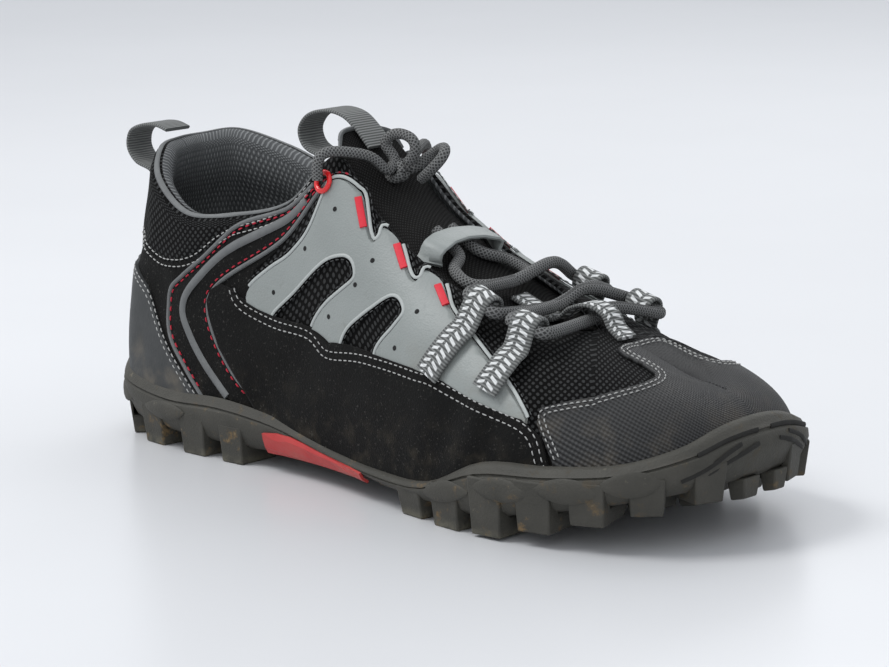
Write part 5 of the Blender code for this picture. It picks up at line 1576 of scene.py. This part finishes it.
def make_sole():
    places = [k / SOLE_STEPS for k in range(LAST_ROW * SOLE_STEPS + 1)]
    form = Form()
    sides = {}
    for side in (-1, 1):
        for i, t in enumerate(places):
            if side == 1 and i in (0, len(places) - 1):
                sides[side, i] = sides[-1, i]
                continue
            raw = sole_profile(side, t)
            if i in (0, len(places) - 1):
                for point in raw:
                    point.y = raw[0].y
            profile = side_form(raw, plan_outward(side, t))
            sides[side, i] = list(range(len(form.points), len(form.points) + len(profile)))
            form.add([framed(point) for point in profile], [],
                     [(t * PLACE_LENGTH, k * 0.003) for k in range(len(profile))])
    faces = []
    for side in (-1, 1):
        for i in range(len(places) - 1):
            here, there = sides[side, i], sides[side, i + 1]
            for k in range(len(here) - 1):
                face = (here[k], there[k], there[k + 1], here[k + 1])
                faces.append(face if side > 0 else face[::-1])
    for end in (0, -1):
        rows = []
        for i in range(len(places)):
            left, right = sides[-1, i][end], sides[1, i][end]
            if left == right:
                rows.append([left])
                continue
            middle = list(range(len(form.points), len(form.points) + 3))
            crown = crown_at(places[i]) if end == 0 else 0.0
            form.add(across(form.points[left], form.points[right], crown), [], [(0.0, 0.0)] * 3)
            rows.append([left, *middle, right])
        for a, b in zip(rows, rows[1:]):
            if len(a) == 1 or len(b) == 1:
                tip, row = (a[0], b) if len(a) == 1 else (b[0], a)
                faces.extend((tip, row[k], row[k + 1]) for k in range(len(row) - 1))
            else:
                faces.extend((a[k], b[k], b[k + 1], a[k + 1]) for k in range(len(a) - 1))
    form.faces = faces
    body = form.make("shoe_sole", LOOKS["rubber"], 50)
    cut = rounded_cut("pocket_cut", base_height(POCKET_CENTRE) + POCKET_DEPTH - POCKET_CUT / 2)
    weld(body.data, 0, outward=True)
    boolean(body, cut, "DIFFERENCE")
    apply_modifiers(body)
    bpy.data.objects.remove(cut, do_unlink=True)
    settle(body, "sole_rubber", "outsole")
    make_lugs()


def swollen(rim, bulge, share, out):
    """A point between rim and bulge on the sole's full side."""
    return rim.lerp(bulge, share) + out * (SIDE_PROUD + SIDE_FULLNESS * math.sin(math.pi * share))


def side_form(raw, out):
    """The sole's side with a round rim, a parting groove under it and a fuller bulge."""
    inside, rim, bulge, shoulder, tread = raw[:4], raw[4], raw[5], raw[6], raw[7]
    up = Vector((0, 0, 1))
    form = list(inside)
    form.append(inside[-1].lerp(rim, LIP_SHARE) + up * LIP_RISE)
    form.append(rim + out * -RIM_EASE + up * RIM_EASE)
    form.append(rim - up * RIM_ROUNDING + out * SIDE_PROUD)
    for share in SIDE_SHARES:
        point = swollen(rim, bulge, share, out)
        if share in PARTING_SHARES:
            point -= out * PARTING_DEPTH
        form.append(point)
    form.append(bulge + out * BULGE_PROUD + (rim - bulge) * 0.02)
    form.append(bulge.lerp(shoulder, 0.5) + out * BULGE_PROUD)
    form.extend([shoulder, tread])
    return form


def rounded_cut(name, centre_z):
    half_x, half_y = POCKET_LENGTH / 2 - POCKET_CORNER, POCKET_WIDTH / 2 - POCKET_CORNER
    outline = []
    for quarter, (sx, sy) in enumerate(((1, 1), (-1, 1), (-1, -1), (1, -1))):
        for step in range(7):
            angle = math.radians(90 * quarter + 15 * step)
            outline.append((POCKET_CENTRE + sx * half_x + POCKET_CORNER * math.cos(angle),
                            sy * half_y + POCKET_CORNER * math.sin(angle)))
    return prism(name, outline, centre_z - POCKET_CUT / 2, centre_z + POCKET_CUT / 2, "Z")


def make_lugs():
    """Every lug of the tread, with rounded edges."""
    form = Form()

    def take(shape):
        form.add([framed(point) for point in shape[0]], shape[1])

    for at, side_place, length, width, turn, taper in INNER_LUGS:
        take(flat_lug(at, side_place, length * LENGTH, width * BALL_WIDTH, turn, taper, LUG_HEIGHT))
    for at, side_place in ARCH_LUGS:
        take(flat_lug(at, side_place, *ARCH_LUG_SIZE, 0, 1.0, ARCH_LUG_HEIGHT))
    for sign in (-1, 1):
        take(flat_lug((POCKET_CENTRE - RAIL_SETBACK) / LENGTH, sign * RAIL_SPACING / 2 / BALL_WIDTH,
                      RAIL_LENGTH, RAIL_WIDTH, 0, 1.0, LUG_HEIGHT))
        for t, length, rise in EDGE_LUGS[sign]:
            take(edge_lug(sign, t, length * LENGTH, rise))
    item = form.make("tread_lugs", LOOKS["rubber"], 40)
    weld(item.data, 0, outward=True)
    bevel(item, LUG_ROUNDING, 2)
    settle(item, "sole_rubber")


LENS_STEPS = 15
LENS_HEIGHT = 0.0010
GROOVE_SIZE = (0.0008, 0.0003)
# Raised lens shapes and grooves on the sole's sides: place and height share at each end, and the width
SIDE_LENSES = ((1.2, 0.95, 2.1, 1.15, 0.0034), (2.5, 1.10, 3.4, 0.90, 0.0034),
               (8.1, 0.80, 8.9, 1.15, 0.0036), (9.0, 0.85, 9.8, 1.20, 0.0040),
               (9.9, 0.90, 10.8, 1.25, 0.0042), (10.8, 0.85, 11.7, 1.20, 0.0042))
# Each groove is a thin dark cord laid on the side, whose dark colour is painted shade in the groove.
SIDE_GROOVES = (((12.3, 0.34), (12.8, 0.31), (13.4, 0.30), (13.8, 0.31)),
                ((13.3, 0.62), (12.9, 0.85), (12.5, 1.15), (12.0, 1.45)),
                ((13.7, 0.80), (13.3, 1.00), (12.9, 1.25), (12.5, 1.50)))


def sole_spot(side, t, share):
    """A point on the sole's side, at a share of the way from rim to bulge and on to the shoulder."""
    raw, out = sole_profile(side, t), plan_outward(side, t)
    if share <= 1:
        point = swollen(raw[4], raw[5], share, out)
    else:
        point = raw[5].lerp(raw[6], share - 1) + out * BULGE_PROUD
    return framed(point), out


def make_sole_marks():
    lenses, grooves = Form(), Form()
    for side in (-1, 1):
        for t0, share0, t1, share1, width in SIDE_LENSES:
            steps = np.linspace(0, 1, LENS_STEPS)
            spots = [sole_spot(side, t0 + (t1 - t0) * f, share0 + (share1 - share0) * f) for f in steps]
            scales = [0.08 + math.sin(math.pi * f) ** 0.7 * 0.92 for f in steps]
            sweep(lenses, list(zip(*spots)), ring_profile(width, LENS_HEIGHT, 12), scales=scales)
        for route in SIDE_GROOVES:
            spots = [sole_spot(side, t, share) for t, share in curve_through(route, 0.08)]
            sweep(grooves, list(zip(*spots)), ring_profile(*GROOVE_SIZE))
    piece(lenses, "sole_side_lenses", "rubber", "sole_rubber")
    piece(grooves, "sole_side_grooves", "groove", "sole_rubber")


# Tongue, laces and webbing
def make_tongue():
    places = [TONGUE_FRONT - TONGUE_RUN * k / TONGUE_STEPS for k in range(TONGUE_STEPS + 1)]
    rows = [tongue_row(t, Vector()) for t in places]
    lean = (tongue_row(TONGUE_REAR, Vector())[5] - tongue_row(TONGUE_REAR + 0.5, Vector())[5]).normalized()
    for share in TIP_SHARES:
        row = tongue_row(TONGUE_REAR, lean * TONGUE_EXTENSION * share)
        taper = 1.0 - TIP_NARROWING * share ** TIP_POWER
        rows.append([row[5].lerp(point, taper) for point in row])
    fine = [[Vector(point) for point in curve_fixed(row, TONGUE_POINTS)] for row in rows]
    top, coordinates = [], []
    for i, row in enumerate(fine):
        for k, point in enumerate(row):
            top.append(framed(point))
            coordinates.append((i * TONGUE_CELL[0], k * TONGUE_CELL[1]))
    form = Form()
    form.add(top, grid_faces(len(fine), TONGUE_POINTS, along=True), coordinates)
    item = form.make("shoe_tongue", LOOKS["tongue"], 60)
    solid = item.modifiers.new("Thickness", "SOLIDIFY")
    solid.thickness = TONGUE_THICKNESS - TONGUE_THINNING
    solid.offset = -1.0
    item.data.materials.append(LOOKS["lining"])
    solid.material_offset = 1
    solid.material_offset_rim = 0
    bevel(item, TONGUE_BEVEL, 3, 60)
    settle(item, "tongue_cloth", "tongue")
    binding = Form()
    edge_line = [framed(point) for point in curve_fixed(rows[-1], 40)]
    ways = [lean.copy()] * len(edge_line)
    sweep(binding, (edge_line, ways), ring_profile(*TONGUE_BINDING))
    piece(binding, "tongue_binding", "piping", "grey_webbing")


def curve_fixed(points, count):
    """A set number of points on the smooth curve through the given ones."""
    fine = curve_through([tuple(point) for point in points], 0.0003)
    at = np.linspace(0, len(fine) - 1, count)
    return [tuple(np.interp(at_one, range(len(fine)), fine[:, k]) for k in range(3)) for at_one in at]


def make_keeper():
    form = Form()
    middle = (KEEPER_PLACES[0] + KEEPER_PLACES[1]) / 2
    points = []
    for share in np.linspace(*KEEPER_SPAN, 34):
        bridge = smooth((KEEPER_CLIMB - abs(share)) / KEEPER_BRIDGE)
        lift = CURVED_GAP + WEBBING_THICKNESS / 2 + bridge * (LACE_DIAMETER + CURVED_GAP)
        points.append(framed(tongue_crest(middle, max(-KEEPER_EDGE, min(KEEPER_EDGE, share)), lift)))
    up = [Vector(KEEPER_UP).normalized()] * len(points)
    sweep(form, (points, up), strap_profile(KEEPER_BAND, WEBBING_THICKNESS * KEEPER_STOUTNESS))
    piece(form, "shoe_keeper", "panel", "grey_webbing", "tongue_keeper")


def make_lace_loops():
    for word, side in (("lateral", -1), ("medial", 1)):
        for index, row in enumerate(LACE_LOOPS[side], 1):
            centre, normal, rearward, climb = loop_frame(side, row)
            skim = CURVED_GAP * 3 + OVERLAY_THICKNESS + WEBBING_THICKNESS / 2
            path = []
            for k in range(6):
                t, s = row[0] + (row[2] - row[0]) * k / 7, row[1] + (row[3] - row[1]) * k / 7
                path.append(on_upper(side, t, s, skim))
            radius = LACE_DIAMETER / 2 + LACE_SLACK + WEBBING_THICKNESS / 2
            for degrees in LOOP_TURN:
                angle = math.radians(degrees)
                path.append(centre + climb * (math.cos(angle) * radius) + normal * (math.sin(angle) * radius))
            points = smooth_path(path, STRAP_SPACING)
            ways = [rearward.cross(run).normalized() for run in tangents(points)]
            strap("lace_loop_%s_%d" % (word, index), "ticked", points, ways, WEBBING_WIDTH)


def make_vamp_webbing():
    half = WEBBING_THICKNESS / 2
    path = [on_upper(-1, t, 1.0, lift + half) for t, lift in VAMP_ON_RIDGE]
    path.append(tongue_crest(TONGUE_FRONT, 0.0, VAMP_OVER_BAR + half) + Vector(LACE_BAR))
    path.extend(tongue_crest(t, 0.0, lift + half) for t, lift in VAMP_ON_TONGUE)
    points = smooth_path(path, STRAP_SPACING)
    ways = [Vector((0, 1, 0)).cross(run).normalized() * -1 for run in tangents(points)]
    ways = [way if way.z > 0 else -way for way in ways]
    strap("vamp_webbing", "ticked", points, ways, WEBBING_WIDTH * VAMP_NARROWING)


def make_pull_loops():
    starts = {"heel_pull_loop": (upper_point(-1, 0.0, 1.0), HEEL_PULL),
              "tongue_pull_loop": (tongue_row(TONGUE_REAR, Vector())[5], TONGUE_PULL)}
    for name, (start, path) in starts.items():
        points = [framed((start.x + x, start.y, start.z + z)) for x, z in curve_through(path, 0.0010)]
        ways = [Vector((0, 1, 0)).cross(run).normalized() for run in tangents(points)]
        strap(name, "webbing", points, ways, PULL_LOOP_WIDTH)


def lace_half(side):
    """Route of one half of the lace in front of the keeper."""
    lift = LACE_DIAMETER / 2 + CURVED_GAP
    route = [tongue_crest(TONGUE_FRONT, 0.0, lift + LACE_LIFT_AT_CROSSING) + Vector(LACE_BAR)]
    for index, way in enumerate((side, -side)):
        centre, _, rearward, _ = loop_frame(way, LACE_LOOPS[way][index])
        if way != side:
            route.append(tongue_crest(LACE_CROSSING, 0.0, lift + LACE_LIFT_AT_CROSSING))
        half = rearward * (WEBBING_WIDTH / 2 + LACE_DIAMETER / 2)
        turn = [centre - half, centre, centre + half]
        if way > 0:
            tip = LACE_LOOPS[way][index][2]
            before, after = (on_upper(way, tip + dt, s, EDGE_LIFT) for dt, s in EDGE_BENDS)
            turn = [before, *turn, after]
        route.extend(turn)
    route.extend(tongue_crest(t, side * share, lift + more) for t, share, more in LACE_REAR_RUN)
    return route


def make_crossings():
    form = Form()
    for side in (-1, 1):
        round_tube(form, smooth_path(lace_half(side), CROSSING_SPACING), LACE_DIAMETER / 2, LACE_SIDES)
    piece(form, "shoe_lace_crossings", "lace", "grey_lace", "lace_crossings")


def make_free_laces():
    """Each end of the lace comes up out of its top eyelet, through the knot and into a bow loop."""
    radius = LACE_DIAMETER / 2 * FREE_LACE_SHARE
    knot_place = tongue_crest(*KNOT_PLACE, KNOT_LIFT)
    for word, side, bow, node in (("lateral", -1, BOW_FRONT, "lace_bow_front"),
                                  ("medial", 1, BOW_REAR, "lace_bow_rear")):
        start = on_upper(side, *EYELET_PLACE, CURVED_GAP + EYELET_HEIGHT + GAP + radius)
        entry = Vector((KNOT_ENTRY[0], side * KNOT_ENTRY[1], KNOT_ENTRY[2]))
        route = [start, on_upper(side, *LACE_OUT), tongue_crest(LACE_IN[0], side * LACE_IN[1], LACE_IN[2]),
                 knot_place + entry, *[knot_place + Vector(p) for p in bow]]
        points = smooth_path(route, LACE_SPACING)
        for _ in range(LACE_EASING):
            points = [points[0], *[(a + b * 2 + c) / 4 for a, b, c in zip(points, points[1:], points[2:])],
                      points[-1]]
        form = Form()
        round_tube(form, points, radius, LACE_SIDES)
        item = piece(form, "shoe_lace_end_" + word, "lace", "grey_lace", "lace_run_" + word, node)
    knot = Form()
    centre = framed(knot_place)
    for turn in range(2):
        loop = []
        for k in range(25):
            angle = 2 * math.pi * k / 24
            x, y, z = KNOT_TURN
            loop.append(centre + Vector((math.cos(angle) * x, (turn - 0.5) * KNOT_TURN_SPACING
                                         + math.sin(angle) * y, math.sin(angle) * z)))
        round_tube(knot, loop, radius * KNOT_THINNING, 10)
    piece(knot, "shoe_lace_knot", "lace", "grey_lace", "lace_knot")


def make_eyelets():
    for word, side in (("lateral", -1), ("medial", 1)):
        base, normal = skin(side, *EYELET_PLACE, OVERLAY_FACE + EYELET_HEIGHT * 0.3)
        turn = normal.to_track_quat("Z", "Y")
        form = Form()
        ring, ways = [], []
        radius = (EYELET_OUTER + EYELET_HOLE) / 4
        for k in range(28):
            angle = 2 * math.pi * k / 28
            out = turn @ Vector((math.cos(angle), math.sin(angle), 0))
            ring.append(base + out * radius)
            ways.append(normal)
        sweep(form, (ring, ways), ring_profile((EYELET_OUTER - EYELET_HOLE) / 4, EYELET_HEIGHT / 2, 12), True)
        piece(form, "shoe_eyelet_" + word, "red", "red_enamel", "eyelet_" + word)


# Studio
CAMERA_YAW = 0.765
CAMERA_ELEVATION = 0.20
CAMERA_DISTANCE = 1.10
CAMERA_LENS = 130.0
CAMERA_ROLL = -0.02
LOOK_AT = (0.150 - MIDDLE, 0.0, 0.050)
FLOOR_REACH = 30.0
SKY = (0.92, 0.95, 1.0, 1.0)
EXPOSURE = -0.25
LIGHT_AIM = (0.0, 0.0, 0.05)
# Area lights: name, place, size and power
LIGHTS = (("key", (-0.6, -0.6, 1.3), 0.6, 16.0), ("fill", (0.9, -0.9, 0.7), 1.0, 2.5),
          ("back", (-0.3, 1.0, 1.0), 1.0, 6.0))


def make_studio():
    sight = Vector((math.sin(CAMERA_YAW) * math.cos(CAMERA_ELEVATION),
                    -math.cos(CAMERA_YAW) * math.cos(CAMERA_ELEVATION), math.sin(CAMERA_ELEVATION)))
    camera_data = bpy.data.cameras.new("camera")
    camera_data.lens = CAMERA_LENS
    camera_data.sensor_width = 36.0
    camera_data.clip_start = 0.05
    camera = bpy.data.objects.new("camera", camera_data)
    camera.location = Vector(LOOK_AT) + sight * CAMERA_DISTANCE
    camera.rotation_euler = sight.to_track_quat("Z", "Y").to_euler()
    camera.rotation_euler.rotate_axis("Z", CAMERA_ROLL)
    bpy.context.scene.collection.objects.link(camera)
    bpy.context.scene.camera = camera
    floor_form = Form()
    corners = ((-1, -1), (1, -1), (1, 1), (-1, 1))
    floor_form.add([Vector((x, y, 0)) * FLOOR_REACH for x, y in corners], [(0, 1, 2, 3)])
    floor_look = Look("pale_floor", roughness=0.30)
    floor_look.finish(floor_look.mix(floor_look.noise(0.25), srgb(202, 203, 205), srgb(210, 211, 213)))
    floor = floor_form.make("floor", floor_look.material)
    world = bpy.data.worlds.new("studio")
    world.use_nodes = True
    world.node_tree.nodes["Background"].inputs["Color"].default_value = SKY
    world.node_tree.nodes["Background"].inputs["Strength"].default_value = 1.0
    bpy.context.scene.world = world
    bpy.context.scene.view_settings.view_transform = "Standard"
    bpy.context.scene.view_settings.exposure = EXPOSURE
    for name, place, size, power in LIGHTS:
        light = bpy.data.lights.new(name, "AREA")
        light.size = size
        light.energy = power
        item = bpy.data.objects.new(name, light)
        item.location = place
        item.rotation_euler = (Vector(place) - Vector(LIGHT_AIM)).to_track_quat("Z", "Y").to_euler()
        bpy.context.scene.collection.objects.link(item)


def dress_solids():
    """Solids that keep their own shape get their finish here."""
    for node, key in (("cleat_plate", "steel"), ("insole", "insole"), ("arch_insert_lateral", "red_rubber"),
                      ("arch_insert_medial", "red_rubber")):
        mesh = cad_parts[node].data
        mesh.materials.clear()
        mesh.materials.append(LOOKS[key])


make_studio()
make_free_laces()
dress_solids()
make_upper()
make_eyestays()
make_quarters()
make_heel_counter()
make_toe_cap()
make_side_seams()
make_collar_edge()
make_sole()
make_sole_marks()
make_tongue()
make_keeper()
make_lace_loops()
make_vamp_webbing()
make_pull_loops()
make_crossings()
make_eyelets()
